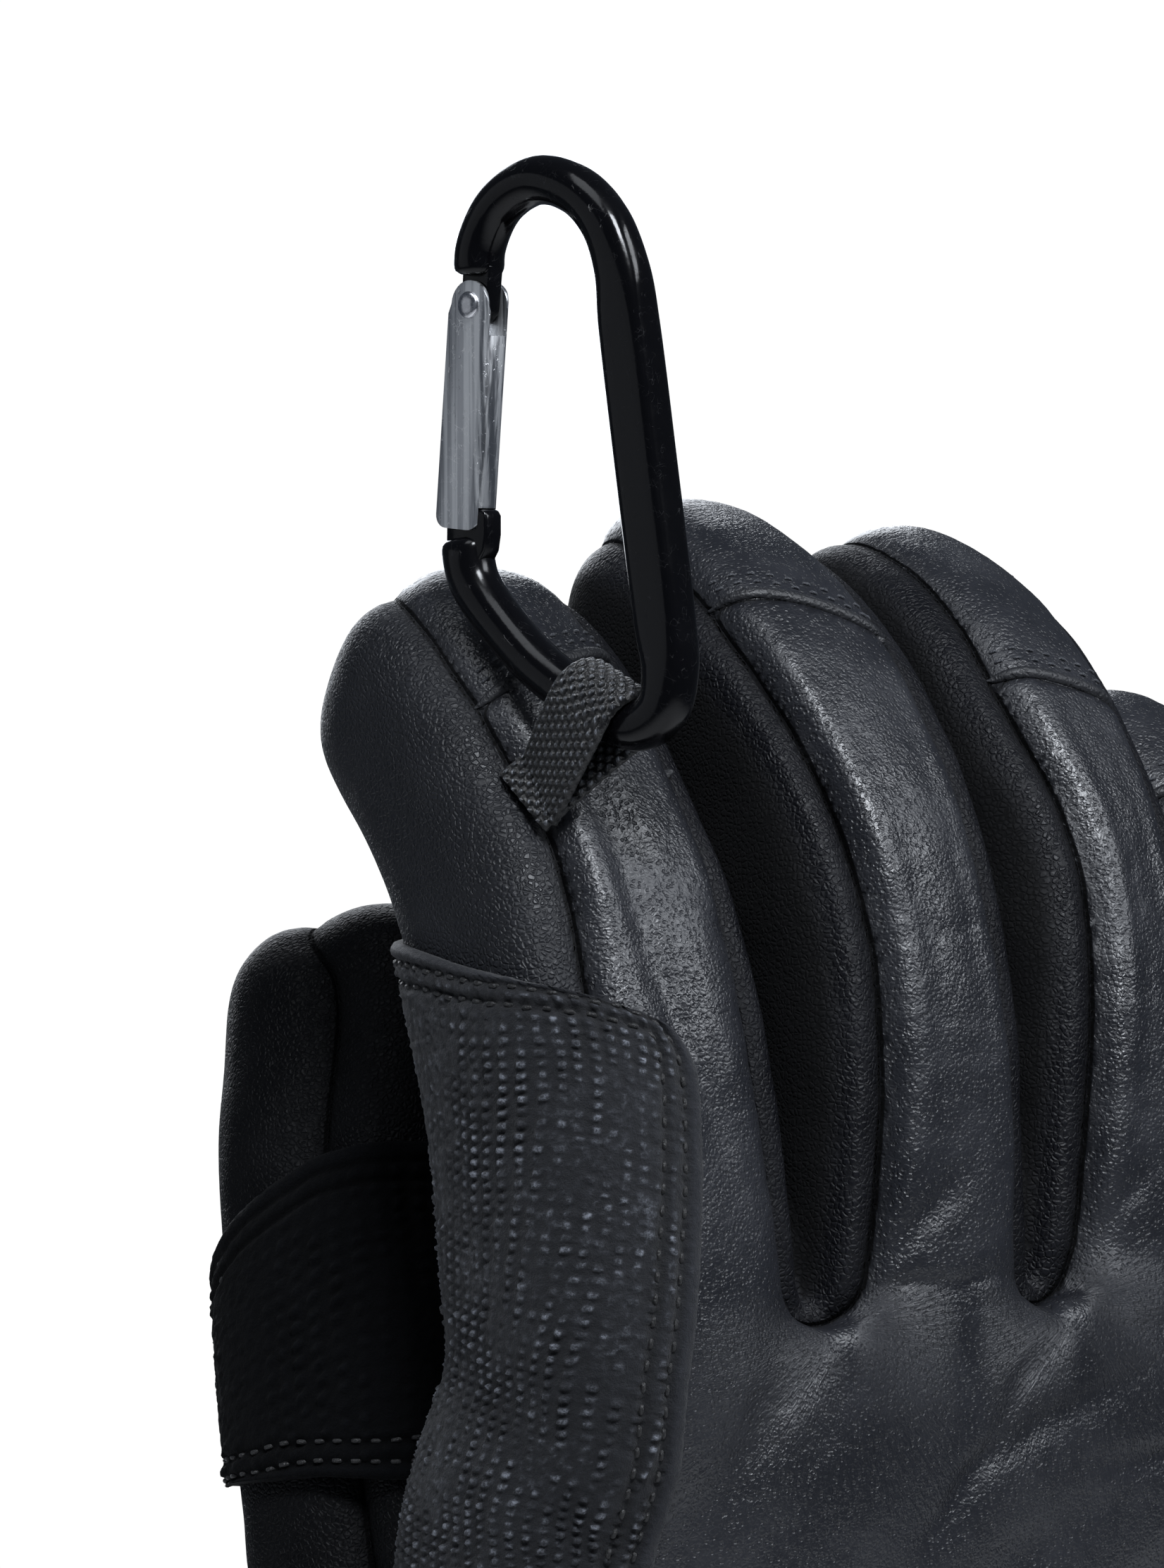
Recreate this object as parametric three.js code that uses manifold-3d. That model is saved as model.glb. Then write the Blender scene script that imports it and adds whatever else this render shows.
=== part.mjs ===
// A padded leather snowboard glove for the right hand, hung by a webbing loop from a small carabiner.
// Millimetres. The origin is the point inside the carabiner's top bow that the glove hangs on.
// X runs across the hand from thumb to little finger, -Y is the back of the hand and +Z is towards the
// fingertips.

import * as THREE from 'three';
import { mergeVertices } from 'three/addons/utils/BufferGeometryUtils.js';
import Module from 'manifold-3d';

const wasm = await Module();
wasm.setup();

// Driving sizes of the glove.
const WALL = 3;              // leather and padding together
const SEAM_GAP = 0.35;       // between two neighbouring panels
const CUFF_WALL = 2.6;
const CROTCH_Z = -110;       // height of the web between the fingers
const WRIST_SEAM_Z = -216;   // where the cuff is sewn on
const CUFF_END_Z = -292;
const TIP_ROUND = 12;        // length of a fingertip's rounding
const PATCH_LIFT = 0.3;
const PATCH_THICK = 1.5;

const THUMB_PATCH_LOW = 48;  // where the thumb's grip patch starts and ends, along the thumb
const THUMB_PATCH_HIGH = 75;

// Driving sizes of the webbing loop and the carabiner. The carabiner lies in a plane of its own, measured
// from its nose: u runs towards the spine and v is upwards.
const WEB_WIDTH = 8.2;
const WEB_THICK = 1.3;
const WEB_CLEARANCE = 1;   // slack round the bar, which bends inside the loop
const WEB_BAR_U = 17.6;      // where the loop crosses the bottom bar
const WEB_BAR_V = -17.6;
const WEB_BAR_SLOPE = -26;   // degrees
const WEB_ROOT_LIFT = 1.2;
const WEB_ROOT = 49;         // along the index finger
const CLIP_TURN = -79;       // degrees from +X to the direction from the gate towards the spine
const BAR = 5;
const HANG_U = 11.6;
const HANG_V = 31.6;
const CLIP_GAP = 0.3;
const GATE_DEPTH = 5.6;
const GATE_WIDTH = 4.7;
const GATE_WALL = 0.9;
const GATE_FOOT = { u: -0.75, v: 0.4 };
const PIVOT = { u: 1.2, v: 22.7 };
const GATE_TOP_ROUND = 2.45;
const TONGUE_WIDTH = 2.5;
const TONGUE_DEPTH = 3.2;
const RIVET_PIN = 0.8;
const RIVET_HEAD = 1.2;
const RIVET_HEAD_THICK = 0.5;

// The carabiner's centre line from the hinge over the bow, down the spine and back to the nose. Deep is
// measured in the plane and wide across it; square 2 is round and larger values are flatter.
const CLIP_BAR = [
  { u: 0.9, v: 25.7, deep: 5, wide: 4.8, square: 2.3 },
  { u: 1.2, v: 28.6, deep: 5, wide: 5, square: 2.1 },
  { u: 3.8, v: 32.6, deep: 5, wide: 5, square: 2 },
  { u: 8.9, v: 34.8, deep: 5, wide: 5, square: 2 },
  { u: 14.2, v: 33.6, deep: 5, wide: 5, square: 2 },
  { u: 18, v: 30.4, deep: 5.1, wide: 4.8, square: 2.2 },
  { u: 20.3, v: 25.6, deep: 5.4, wide: 4.5, square: 2.8 },
  { u: 21.3, v: 20, deep: 5.7, wide: 4.2, square: 4 },
  { u: 23.6, v: 6, deep: 5.7, wide: 4.2, square: 4 },
  { u: 26, v: -8.6, deep: 5.7, wide: 4.2, square: 4 },
  { u: 26.7, v: -13.4, deep: 5.5, wide: 4.5, square: 3 },
  { u: 25.9, v: -17, deep: 5.2, wide: 4.8, square: 2.4 },
  { u: 23, v: -18.9, deep: 5, wide: 5, square: 2.1 },
  { u: 19, v: -18.2, deep: 5, wide: 5, square: 2 },
  { u: 9.9, v: -13.6, deep: 5, wide: 5, square: 2 },
  { u: 5.2, v: -10, deep: 5, wide: 5, square: 2 },
  { u: 1.6, v: -5.2, deep: 5, wide: 4.9, square: 2.3 },
  { u: -0.3, v: -1.0, deep: 5.2, wide: 4.9, square: 3 },
];

// The digits. x, y and z place the root; yaw turns the digit about Z; lean tips it towards the little
// finger and tilt towards the palm, in degrees; curl is how far it has bent at the tip, and late how late
// the bend comes. Cap is how far the fingertip cap reaches down the back of the finger.
const FINGERS = [
  {
    name: 'index', x: 6.3, y: -3.5, z: -109, yaw: 0, lean: 0, tilt: 7, curl: 56, late: 1.5,
    length: 79, width: 31, depth: 30, cap: 20,
  },
  {
    name: 'middle', x: 36.2, y: -4.5, z: -109, yaw: 0, lean: 3, tilt: 3, curl: 85, late: 1.8,
    length: 92, width: 28.5, depth: 29, cap: 28,
  },
  {
    name: 'ring', x: 63.8, y: -3.5, z: -108, yaw: 0, lean: 4, tilt: 4, curl: 84, late: 1.8,
    length: 88.5, width: 27.5, depth: 28, cap: 33,
  },
  {
    name: 'little', x: 89.8, y: 1, z: -111, yaw: 0, lean: 3.5, tilt: 4, curl: 66, late: 1.6,
    length: 67, width: 25.5, depth: 26, cap: 20,
  },
];
const THUMB = {
  name: 'thumb', x: 9.8, y: 27.5, z: -176, yaw: -62, lean: -14, tilt: 0, curl: 30, late: 1.2,
  length: 108, width: 31, depth: 32,
};

// How a digit's width and depth change from its root (0) to its tip (1).
const DIGIT_PROFILE = [
  { at: -0.3, width: 1, depth: 1 },
  { at: 0, width: 1, depth: 1 },
  { at: 0.2, width: 0.97, depth: 0.98 },
  { at: 0.42, width: 0.98, depth: 0.98 },
  { at: 0.62, width: 0.95, depth: 0.93 },
  { at: 0.76, width: 0.96, depth: 0.93 },
  { at: 1, width: 0.9, depth: 0.86 },
];

// Half the width of a finger's strip of back leather, by the distance from the root: full at the web, slim
// above. Cut is how far the side walls reach towards the back there.
const BACK_STRIP = [
  { at: -8, half: 15, cut: 0.4 },
  { at: 0, half: 14, cut: 0.65 },
  { at: 4, half: 11.4, cut: 1 },
  { at: 16, half: 9.8, cut: 1 },
  { at: 28, half: 9, cut: 1 },
  { at: 90, half: 8.6, cut: 1 },
];
const PALM_STRIP_HALF = 9;

// The thumb swells out of the hand's edge, so its root starts slim inside it.
const THUMB_PROFILE = [
  { at: -0.13, width: 0.5, depth: 0.5 },
  { at: 0.05, width: 0.82, depth: 0.84 },
  { at: 0.21, width: 0.96, depth: 0.98 },
  { at: 0.38, width: 1, depth: 1 },
  { at: 0.7, width: 0.98, depth: 0.95 },
  { at: 1, width: 0.92, depth: 0.88 },
];

// Sections of the hand from the cuff's mouth up to the web between the fingers.
const HAND = [
  { z: -292, x: 45.5, y: 16.5, width: 114, depth: 72 },
  { z: -262, x: 45.5, y: 15.5, width: 107, depth: 64 },
  { z: -236, x: 45.5, y: 14.5, width: 98, depth: 56 },
  { z: -216, x: 45.5, y: 13.5, width: 95, depth: 50 },
  { z: -196, x: 45.5, y: 12.5, width: 99, depth: 48 },
  { z: -168, x: 46, y: 9, width: 107, depth: 46 },
  { z: -140, x: 46, y: 3.5, width: 114, depth: 44 },
  { z: -122, x: 47, y: 0, width: 115, depth: 41 },
  { z: -110, x: 48, y: -2.6, width: 110, depth: 31 },
];

const { degToRad } = THREE.MathUtils;

// Reads a table at a place, running straight between its rows.
function lookUp(rows, key, place, column) {
  let low = rows[0];
  for (const high of rows) {
    if (high[key] >= place) {
      const span = high[key] - low[key];
      const share = span > 0 ? (place - low[key]) / span : 0;
      return low[column] + (high[column] - low[column]) * share;
    }
    low = high;
  }
  return low[column];
}

// A closed solid through rings of points, each ring anticlockwise when seen from the far end.
function loft(rings) {
  const count = rings[0].length;
  const last = rings.length - 1;
  const position = [];
  const index = [];
  for (const ring of rings) {
    for (const point of ring) {
      position.push(point.x, point.y, point.z);
    }
  }
  for (let i = 0; i < last; i += 1) {
    for (let j = 0; j < count; j += 1) {
      const a = i * count + j;
      const b = i * count + ((j + 1) % count);
      index.push(a, b, b + count, a, b + count, a + count);
    }
  }
  for (const end of [0, last]) {
    const middle = new THREE.Vector3();
    for (const point of rings[end]) {
      middle.addScaledVector(point, 1 / count);
    }
    const centre = position.length / 3;
    position.push(middle.x, middle.y, middle.z);
    for (let j = 0; j < count; j += 1) {
      const a = end * count + j;
      const b = end * count + ((j + 1) % count);
      if (end === 0) {
        index.push(centre, b, a);
      } else {
        index.push(centre, a, b);
      }
    }
  }
  const geometry = new THREE.BufferGeometry();
  geometry.setAttribute('position', new THREE.Float32BufferAttribute(position, 3));
  geometry.setIndex(index);
  return geometry;
}

// A geometry as a solid that can be joined and cut.
function solid(geometry) {
  const plain = geometry.clone();
  plain.deleteAttribute('normal');
  plain.deleteAttribute('uv');
  const merged = mergeVertices(plain, 1e-4);
  return new wasm.Manifold(new wasm.Mesh({
    numProp: 3,
    vertProperties: new Float32Array(merged.attributes.position.array),
    triVerts: new Uint32Array(merged.index.array),
  }));
}

// The largest separate body of a solid, without crumbs left over from cutting.
function largest(body) {
  const parts = body.decompose();
  parts.sort((a, b) => b.volume() - a.volume());
  return parts[0];
}

function toGeometry(body) {
  const mesh = body.getMesh();
  const geometry = new THREE.BufferGeometry();
  geometry.setAttribute('position', new THREE.BufferAttribute(new Float32Array(mesh.vertProperties), 3));
  geometry.setIndex(new THREE.BufferAttribute(new Uint32Array(mesh.triVerts), 1));
  geometry.computeVertexNormals();
  return geometry;
}

// A ring of a rounded section; squareness 2 is an ellipse and larger values are boxier.
function roundRing(frame, width, depth, squareness, count) {
  const ring = [];
  for (let k = 0; k < count; k += 1) {
    const angle = (2 * Math.PI * (k + 0.5)) / count;
    const c = Math.cos(angle);
    const s = Math.sin(angle);
    const x = Math.sign(c) * Math.abs(c) ** (2 / squareness) * (width / 2);
    const y = Math.sign(s) * Math.abs(s) ** (2 / squareness) * (depth / 2);
    ring.push(frame.centre.clone().addScaledVector(frame.side, x).addScaledVector(frame.front, y));
  }
  return ring;
}

// A ring through hand-placed corners, given across and towards the palm.
function cornerRing(frame, corners) {
  return corners.map(([x, y]) => (
    frame.centre.clone().addScaledVector(frame.side, x).addScaledVector(frame.front, y)
  ));
}

// The frame at a distance along a digit's curled centre line, which bends more and more to the palm.
function digitFrame(digit, distance) {
  const turn = new THREE.Matrix4().makeRotationFromEuler(
    new THREE.Euler(0, degToRad(digit.lean), degToRad(digit.yaw), 'ZYX'),
  );
  const side = new THREE.Vector3(1, 0, 0).applyMatrix4(turn);
  const palm = new THREE.Vector3(0, 1, 0).applyMatrix4(turn);
  const up = new THREE.Vector3(0, 0, 1).applyMatrix4(turn);
  const tiltAt = (s) => degToRad(digit.tilt + digit.curl * Math.max(0, s / digit.length) ** digit.late);
  const steps = 24;
  const centre = new THREE.Vector3(digit.x, digit.y, digit.z);
  for (let k = 0; k < steps; k += 1) {
    const s = (distance * (k + 0.5)) / steps;
    centre.addScaledVector(palm, (distance / steps) * Math.sin(tiltAt(s)));
    centre.addScaledVector(up, (distance / steps) * Math.cos(tiltAt(s)));
  }
  const tilt = tiltAt(distance);
  const front = palm.clone().multiplyScalar(Math.cos(tilt)).addScaledVector(up, -Math.sin(tilt));
  return { centre, side, front };
}

// The places along a digit where its solids have a section, so that cuts and walls follow the same bends.
function digitStops(digit, from, shares = [0.05, 0.21, 0.38, 0.55, 0.7]) {
  const stops = [from];
  for (const share of shares) {
    if (share * digit.length > from + 1) {
      stops.push(share * digit.length);
    }
  }
  stops.push(digit.length - TIP_ROUND);
  return stops;
}

// A digit's body, grown outwards by `grow`, from `from` to its rounded tip.
function digitBody(digit, from, grow, count) {
  const end = digit.length + grow;
  const round = TIP_ROUND + grow;
  const shares = grow < 0 ? [0.21, 0.46, 0.7] : undefined;
  const rings = digitStops(digit, from, shares).map((distance) => ({ distance, scale: 1 }));
  for (const share of grow < 0 ? [0.6, 0.93] : [0.4, 0.74, 0.95]) {
    rings.push({ distance: end - round + round * share, scale: Math.sqrt(1 - share * share) });
  }
  return solid(loft(rings.map(({ distance, scale }) => {
    const at = distance / digit.length;
    const profile = digit.name === 'thumb' ? THUMB_PROFILE : DIGIT_PROFILE;
    const width = digit.width * lookUp(profile, 'at', at, 'width') + 2 * grow;
    const depth = digit.depth * lookUp(profile, 'at', at, 'depth') + 2 * grow;
    return roundRing(digitFrame(digit, distance), width * scale, depth * scale, 2.7, count);
  })));
}

function handFrame(z) {
  return {
    centre: new THREE.Vector3(lookUp(HAND, 'z', z, 'x'), lookUp(HAND, 'z', z, 'y'), z),
    side: new THREE.Vector3(1, 0, 0),
    front: new THREE.Vector3(0, 1, 0),
  };
}

// The hand's body between two heights, grown outwards by `grow`.
function handBody(lowZ, highZ, grow, count) {
  const heights = [lowZ];
  for (const row of HAND) {
    if (row.z > lowZ && row.z < highZ) {
      heights.push(row.z);
    }
  }
  heights.push(highZ);
  return solid(loft(heights.map((z) => {
    const width = lookUp(HAND, 'z', z, 'width') + 2 * grow;
    const depth = lookUp(HAND, 'z', z, 'depth') + 2 * grow;
    return roundRing(handFrame(z), width, depth, 2.9, count);
  })));
}

// A box that follows a digit's bends, with its corners given across and towards the palm. Its end leans
// by `slope`.
function digitBox(digit, from, to, [x0, x1], [y0, y1], slope = 0) {
  const stops = [from];
  for (const stop of digitStops(digit, from)) {
    if (stop > from + 1 && stop < to - 1) {
      stops.push(stop);
    }
  }
  stops.push(to);
  return solid(loft(stops.map((distance, row) => {
    const frame = digitFrame(digit, distance);
    const ring = cornerRing(frame, [[x0, y0], [x1, y0], [x1, y1], [x0, y1]]);
    if (row === stops.length - 1) {
      const up = frame.side.clone().cross(frame.front);
      ring.forEach((point, k) => point.addScaledVector(up, slope * [x0, x1, x1, x0][k]));
    }
    return ring;
  })));
}

// A sector from a finger's centre line out past one side, between its back strip and its palm strip. It
// narrows to nothing at the fingertip, where the cap and the palm strip meet.
function sideSector(digit, sign, from, grow) {
  const reach = digit.width * 0.54 + 1.6;
  const stops = [from, 0, ...digitStops(digit, 0.05 * digit.length), digit.length - 3];
  return solid(loft(stops.map((distance) => {
    const tall = (digit.depth / 2 + 2) * lookUp(BACK_STRIP, 'at', distance, 'cut');
    const fade = THREE.MathUtils.clamp((digit.length - 1 - distance) / 12, 0.25, 1);
    const back = lookUp(BACK_STRIP, 'at', distance, 'half') / fade - grow;
    const palm = PALM_STRIP_HALF / fade - grow;
    const corners = [[0.3, tall * 0.1], [Math.min(palm, reach - 0.5), tall * fade], [reach, tall * fade],
      [reach, -tall * fade], [Math.min(back, reach - 0.5), -tall * fade], [0.3, -tall * 0.1]];
    const turned = corners.map(([x, y]) => [x * sign, y]);
    return cornerRing(digitFrame(digit, distance), sign > 0 ? turned.reverse() : turned);
  })));
}

// A slab down one edge of the hand, which carries a finger's side wall on to the cuff.
function edgeSlab(sign, grow) {
  const heights = [WRIST_SEAM_Z - 4, -196, -168, -140, -122, CROTCH_Z + 1];
  return solid(loft(heights.map((z) => {
    const edge = (lookUp(HAND, 'z', z, 'width') / 2) * sign;
    const half = lookUp(HAND, 'z', z, 'depth') * 0.22 + grow;
    const near = edge - 13 * sign;
    const far = edge + 6 * sign;
    const corners = [[near, -half], [near, half], [far, half], [far, -half]];
    return cornerRing(handFrame(z), sign > 0 ? corners.reverse() : corners);
  })));
}

const glove = new THREE.Group();

function addMesh(name, body, colour, roughness, metalness = 0) {
  const material = new THREE.MeshStandardMaterial({ color: colour, roughness, metalness });
  const mesh = new THREE.Mesh(toGeometry(body), material);
  mesh.name = name;
  glove.add(mesh);
}

// The shell of the whole hand before it is cut into panels, hollow from the wrist to each fingertip.
const thumbInside = digitBody(THUMB, -14, -WALL, 10);
let shell = handBody(WRIST_SEAM_Z, CROTCH_Z, 0, 28);
let inside = handBody(WRIST_SEAM_Z - 2, CROTCH_Z - WALL, -WALL, 16).add(thumbInside);
for (const finger of FINGERS) {
  shell = shell.add(digitBody(finger, -14, 0, 12));
  inside = inside.add(digitBody(finger, -16, -WALL, 10));
}
let rest = shell.subtract(inside);

// The walls beside and between the fingers, cut out of the shell.
const [index, middle, ring, little] = FINGERS;
const SIDE_PIECES = [
  { name: 'index_side_panel', walls: [[index, -1]], edge: -1 },
  { name: 'fourchette_index_middle', walls: [[index, 1], [middle, -1]], edge: 0 },
  { name: 'fourchette_middle_ring', walls: [[middle, 1], [ring, -1]], edge: 0 },
  { name: 'fourchette_ring_little', walls: [[ring, 1], [little, -1]], edge: 0 },
  { name: 'little_side_panel', walls: [[little, 1]], edge: 1 },
];

function sideCutter({ walls, edge }, grow) {
  const parts = walls.map(([digit, sign]) => sideSector(digit, sign, -6, grow));
  if (edge !== 0) {
    parts.push(edgeSlab(edge, grow));
  }
  return parts.reduce((sum, part) => sum.add(part));
}

for (const piece of SIDE_PIECES) {
  addMesh(piece.name, largest(rest.intersect(sideCutter(piece, 0))), 0x1b1c1f, 0.6);
  rest = rest.subtract(sideCutter(piece, SEAM_GAP));
}

// The caps sewn over the fingertips.
for (const finger of FINGERS) {
  const from = finger.length - finger.cap;
  const across = finger.width / 2 + 1;
  const cap = digitBox(finger, from, finger.length + 6, [-across, across], [-30, 2]);
  const room = [-30, 2 + SEAM_GAP];
  const cut = digitBox(finger, from - SEAM_GAP, finger.length + 6, [-across, across], room);
  addMesh(`fingertip_cap_${finger.name}`, largest(rest.intersect(cap)), 0x24262a, 0.5);
  rest = rest.subtract(cut);
}

// What is left falls into the back and the palm.
const panels = rest.decompose();
panels.sort((a, b) => b.volume() - a.volume());
const height = (body) => body.boundingBox().min[1] + body.boundingBox().max[1];
const [back, palm] = panels.slice(0, 2).sort((a, b) => height(a) - height(b));
addMesh('back_panel', back, 0x232529, 0.5);
addMesh('palm_panel', palm, 0x1e2024, 0.6);

// The thumb stands on the hand's edge, in two halves with a seam down its back.
const handAbout = handBody(WRIST_SEAM_Z, CROTCH_Z, SEAM_GAP, 28);
const thumb = largest(digitBody(THUMB, -12, 0, 12).subtract(thumbInside).subtract(handAbout));
const thumbSides = [
  { name: 'thumb_outer_panel', across: [-30, 3.5 - SEAM_GAP / 2] },
  { name: 'thumb_inner_panel', across: [3.5 + SEAM_GAP / 2, 30] },
];
for (const { name, across } of thumbSides) {
  const half = digitBox(THUMB, -20, THUMB.length + 6, across, [-30, 30]);
  addMesh(name, largest(thumb.intersect(half)), 0x1a1b1e, 0.6);
}

// The cuff, a plain tube that widens to its mouth.
const cuff = handBody(CUFF_END_Z, WRIST_SEAM_Z - SEAM_GAP, 0, 24)
  .subtract(handBody(CUFF_END_Z - 2, WRIST_SEAM_Z + 2, -CUFF_WALL, 20));
addMesh('cuff_panel', cuff, 0x1e2024, 0.6);

// A flat outline swept along X (plane 'yz') or along Y (plane 'xz').
function prism(outline, plane, from, to) {
  const sweep = { depth: to - from, bevelEnabled: false, curveSegments: 6 };
  const geometry = new THREE.ExtrudeGeometry(outline, sweep);
  const x = new THREE.Vector3(1, 0, 0);
  const y = new THREE.Vector3(0, 1, 0);
  const z = new THREE.Vector3(0, 0, 1);
  const basis = new THREE.Matrix4();
  if (plane === 'yz') {
    basis.makeBasis(y, z, x).setPosition(from, 0, 0);
  } else {
    basis.makeBasis(x, z, y.negate()).setPosition(0, -from, 0);
  }
  return solid(geometry.applyMatrix4(basis));
}

// The grip patch round the thumb side of the index finger. Its top edge slopes and its upper corner is
// round.
function indexPatch() {
  const lift = (grow) => digitBody(index, -14, grow, 12).add(handBody(-165, CROTCH_Z, grow, 28));
  const layer = lift(PATCH_LIFT + PATCH_THICK).subtract(lift(PATCH_LIFT));
  const slope = new THREE.Shape();
  slope.moveTo(-38, -94);
  slope.lineTo(37, -62);
  slope.lineTo(37, -152);
  slope.lineTo(-38, -152);
  const front = new THREE.Shape();
  front.moveTo(-35, -60);
  front.lineTo(-7, -60);
  front.lineTo(-1.5, -81);
  front.quadraticCurveTo(3.3, -82, 3.4, -89);
  front.lineTo(3, -112);
  front.lineTo(-1.5, -132);
  front.lineTo(-7, -152);
  front.lineTo(-35, -152);
  const nearThumb = digitBody(THUMB, -12, SEAM_GAP, 12);
  const inside = prism(slope, 'yz', -35, 15).intersect(prism(front, 'xz', -45, 45));
  return largest(layer.intersect(inside).subtract(nearThumb));
}
addMesh('index_grip_patch', indexPatch(), 0x20242c, 0.8);

// The grip patch over the back of the thumb.
function thumbPatch() {
  const layer = digitBody(THUMB, -12, PATCH_LIFT + PATCH_THICK, 12)
    .subtract(digitBody(THUMB, -12, PATCH_LIFT, 12));
  const field = digitBox(THUMB, THUMB_PATCH_LOW, THUMB_PATCH_HIGH, [-30, 30], [-30, 0], 0.3);
  return largest(layer.intersect(field));
}
addMesh('thumb_grip_patch', thumbPatch(), 0x1a1d23, 0.85);

// Directions of the carabiner: along u, up and across its plane.
const clipAlong = new THREE.Vector3(Math.cos(degToRad(CLIP_TURN)), Math.sin(degToRad(CLIP_TURN)), 0);
const clipUp = new THREE.Vector3(0, 0, 1);
const clipAcross = clipAlong.clone().cross(clipUp);

function clipPoint(u, v, across = 0) {
  return new THREE.Vector3()
    .addScaledVector(clipAlong, u - HANG_U)
    .addScaledVector(clipUp, v - HANG_V)
    .addScaledVector(clipAcross, across);
}

// A block in the carabiner's plane: an outline in u and v, centred across the plane.
function clipBlock(outline, width) {
  const sweep = { depth: width, bevelEnabled: false, curveSegments: 6 };
  const geometry = new THREE.ExtrudeGeometry(outline, sweep);
  const basis = new THREE.Matrix4().makeBasis(clipAlong, clipUp, clipAcross);
  return solid(geometry.applyMatrix4(basis.setPosition(clipPoint(0, 0, -width / 2))));
}

// A round pin across the carabiner's plane.
function clipPin(u, v, radius, width) {
  const disc = new THREE.Shape();
  disc.absarc(u, v, radius, 0, 2 * Math.PI);
  return clipBlock(disc, width);
}

function outlineOf(points) {
  const outline = new THREE.Shape();
  outline.moveTo(points[0][0], points[0][1]);
  for (const [u, v] of points.slice(1)) {
    outline.lineTo(u, v);
  }
  return outline;
}

// The bar's sections along a smooth curve through the table's rows.
function clipBar() {
  const path = CLIP_BAR.map(({ u, v }) => clipPoint(u, v));
  const curve = new THREE.CatmullRomCurve3(path, false, 'centripetal');
  const rings = [];
  const steps = (CLIP_BAR.length - 1) * 2;
  for (let k = 0; k <= steps; k += 1) {
    const row = CLIP_BAR[Math.floor(k / 2)];
    const next = CLIP_BAR[Math.ceil(k / 2)];
    const blend = (column) => (row[column] + next[column]) / 2;
    const travel = curve.getTangent(k / steps);
    const side = clipAcross.clone().cross(travel).normalize();
    const frame = { centre: curve.getPoint(k / steps), side, front: clipAcross };
    rings.push(roundRing(frame, blend('deep'), blend('wide'), blend('square'), 10));
  }
  return solid(loft(rings));
}

// The frame: the bar, a tongue that the gate hinges on and a nose tongue that the gate closes over.
function clipFrame() {
  const half = TONGUE_DEPTH / 2;
  const hinge = new THREE.Shape();
  hinge.absarc(PIVOT.u, PIVOT.v, half + 0.2, Math.PI, 2 * Math.PI);
  hinge.lineTo(PIVOT.u + half + 0.4, CLIP_BAR[0].v + 1);
  hinge.lineTo(PIVOT.u - half, CLIP_BAR[0].v + 1);
  const nose = outlineOf([[-2.8, -1.5], [0.6, -1.5], [0.9, 4.2], [-1.3, 4.6], [-2.5, 3.4]]);
  return clipBar()
    .add(clipBlock(hinge, TONGUE_WIDTH))
    .add(clipBlock(nose, TONGUE_WIDTH))
    .subtract(clipPin(PIVOT.u, PIVOT.v, RIVET_PIN + CLIP_GAP, 8));
}

// The gate: a channel open towards the outside, round at the top, with its web cut short at both ends.
function clipGate() {
  const lean = new THREE.Vector2(PIVOT.u - GATE_FOOT.u, PIVOT.v - GATE_FOOT.v).normalize();
  const out = new THREE.Vector2(lean.y, -lean.x);
  const at = (x, y) => [
    GATE_FOOT.u + out.x * x + lean.x * y,
    GATE_FOOT.v + out.y * x + lean.y * y,
  ];
  const length = Math.hypot(PIVOT.u - GATE_FOOT.u, PIVOT.v - GATE_FOOT.v);
  const half = GATE_DEPTH / 2;
  const blocks = outlineOf([at(-half, 0.6), at(-half + 0.6, 0), at(half - 0.6, 0), at(half, 0.6),
    at(half, length - 1), at(GATE_TOP_ROUND, length), at(-GATE_TOP_ROUND, length), at(-half, length - 1)]);
  const round = clipPin(PIVOT.u, PIVOT.v, GATE_TOP_ROUND, GATE_WIDTH);
  const hollow = outlineOf([at(-half - 1, -1), at(half - GATE_WALL, -1), at(half - GATE_WALL, length + 5),
    at(-half - 1, length + 5)]);
  const noseSlot = outlineOf([at(-half, -1), at(half + 1, -1), at(half + 1, 1.9), at(-half, 1.9)]);
  const tongueSlot = outlineOf([at(-half, length - 1.6), at(half + 1, length - 1.6), at(half + 1, length + 5),
    at(-half, length + 5)]);
  const inner = GATE_WIDTH - 2 * GATE_WALL;
  return clipBlock(blocks, GATE_WIDTH)
    .add(round)
    .subtract(clipBlock(hollow, inner))
    .subtract(clipBlock(noseSlot, inner))
    .subtract(clipBlock(tongueSlot, inner))
    .subtract(clipPin(PIVOT.u, PIVOT.v, RIVET_PIN + CLIP_GAP, 8));
}

// The rivet: a pin with a low head past each side of the gate.
function gateRivet() {
  const reach = GATE_WIDTH / 2 + CLIP_GAP;
  const turn = new THREE.Matrix4().makeBasis(clipAlong, clipAcross.clone().negate(), clipUp);
  const far = reach + RIVET_HEAD_THICK;
  const flat = RIVET_HEAD * 0.7;
  const profile = [[0, -far], [flat, -far], [RIVET_HEAD, -reach], [RIVET_PIN, -reach], [RIVET_PIN, reach],
    [RIVET_HEAD, reach], [flat, far], [0, far]];
  const lathe = new THREE.LatheGeometry(profile.map(([x, y]) => new THREE.Vector2(x, y)), 10);
  return solid(lathe.applyMatrix4(turn.setPosition(clipPoint(PIVOT.u, PIVOT.v))));
}
addMesh('clip_frame', clipFrame(), 0x0b0b0d, 0.25, 0.6);
addMesh('clip_gate', clipGate(), 0xb9bbbe, 0.35, 1);
addMesh('gate_rivet', gateRivet(), 0x9a9c9f, 0.35, 1);

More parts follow.
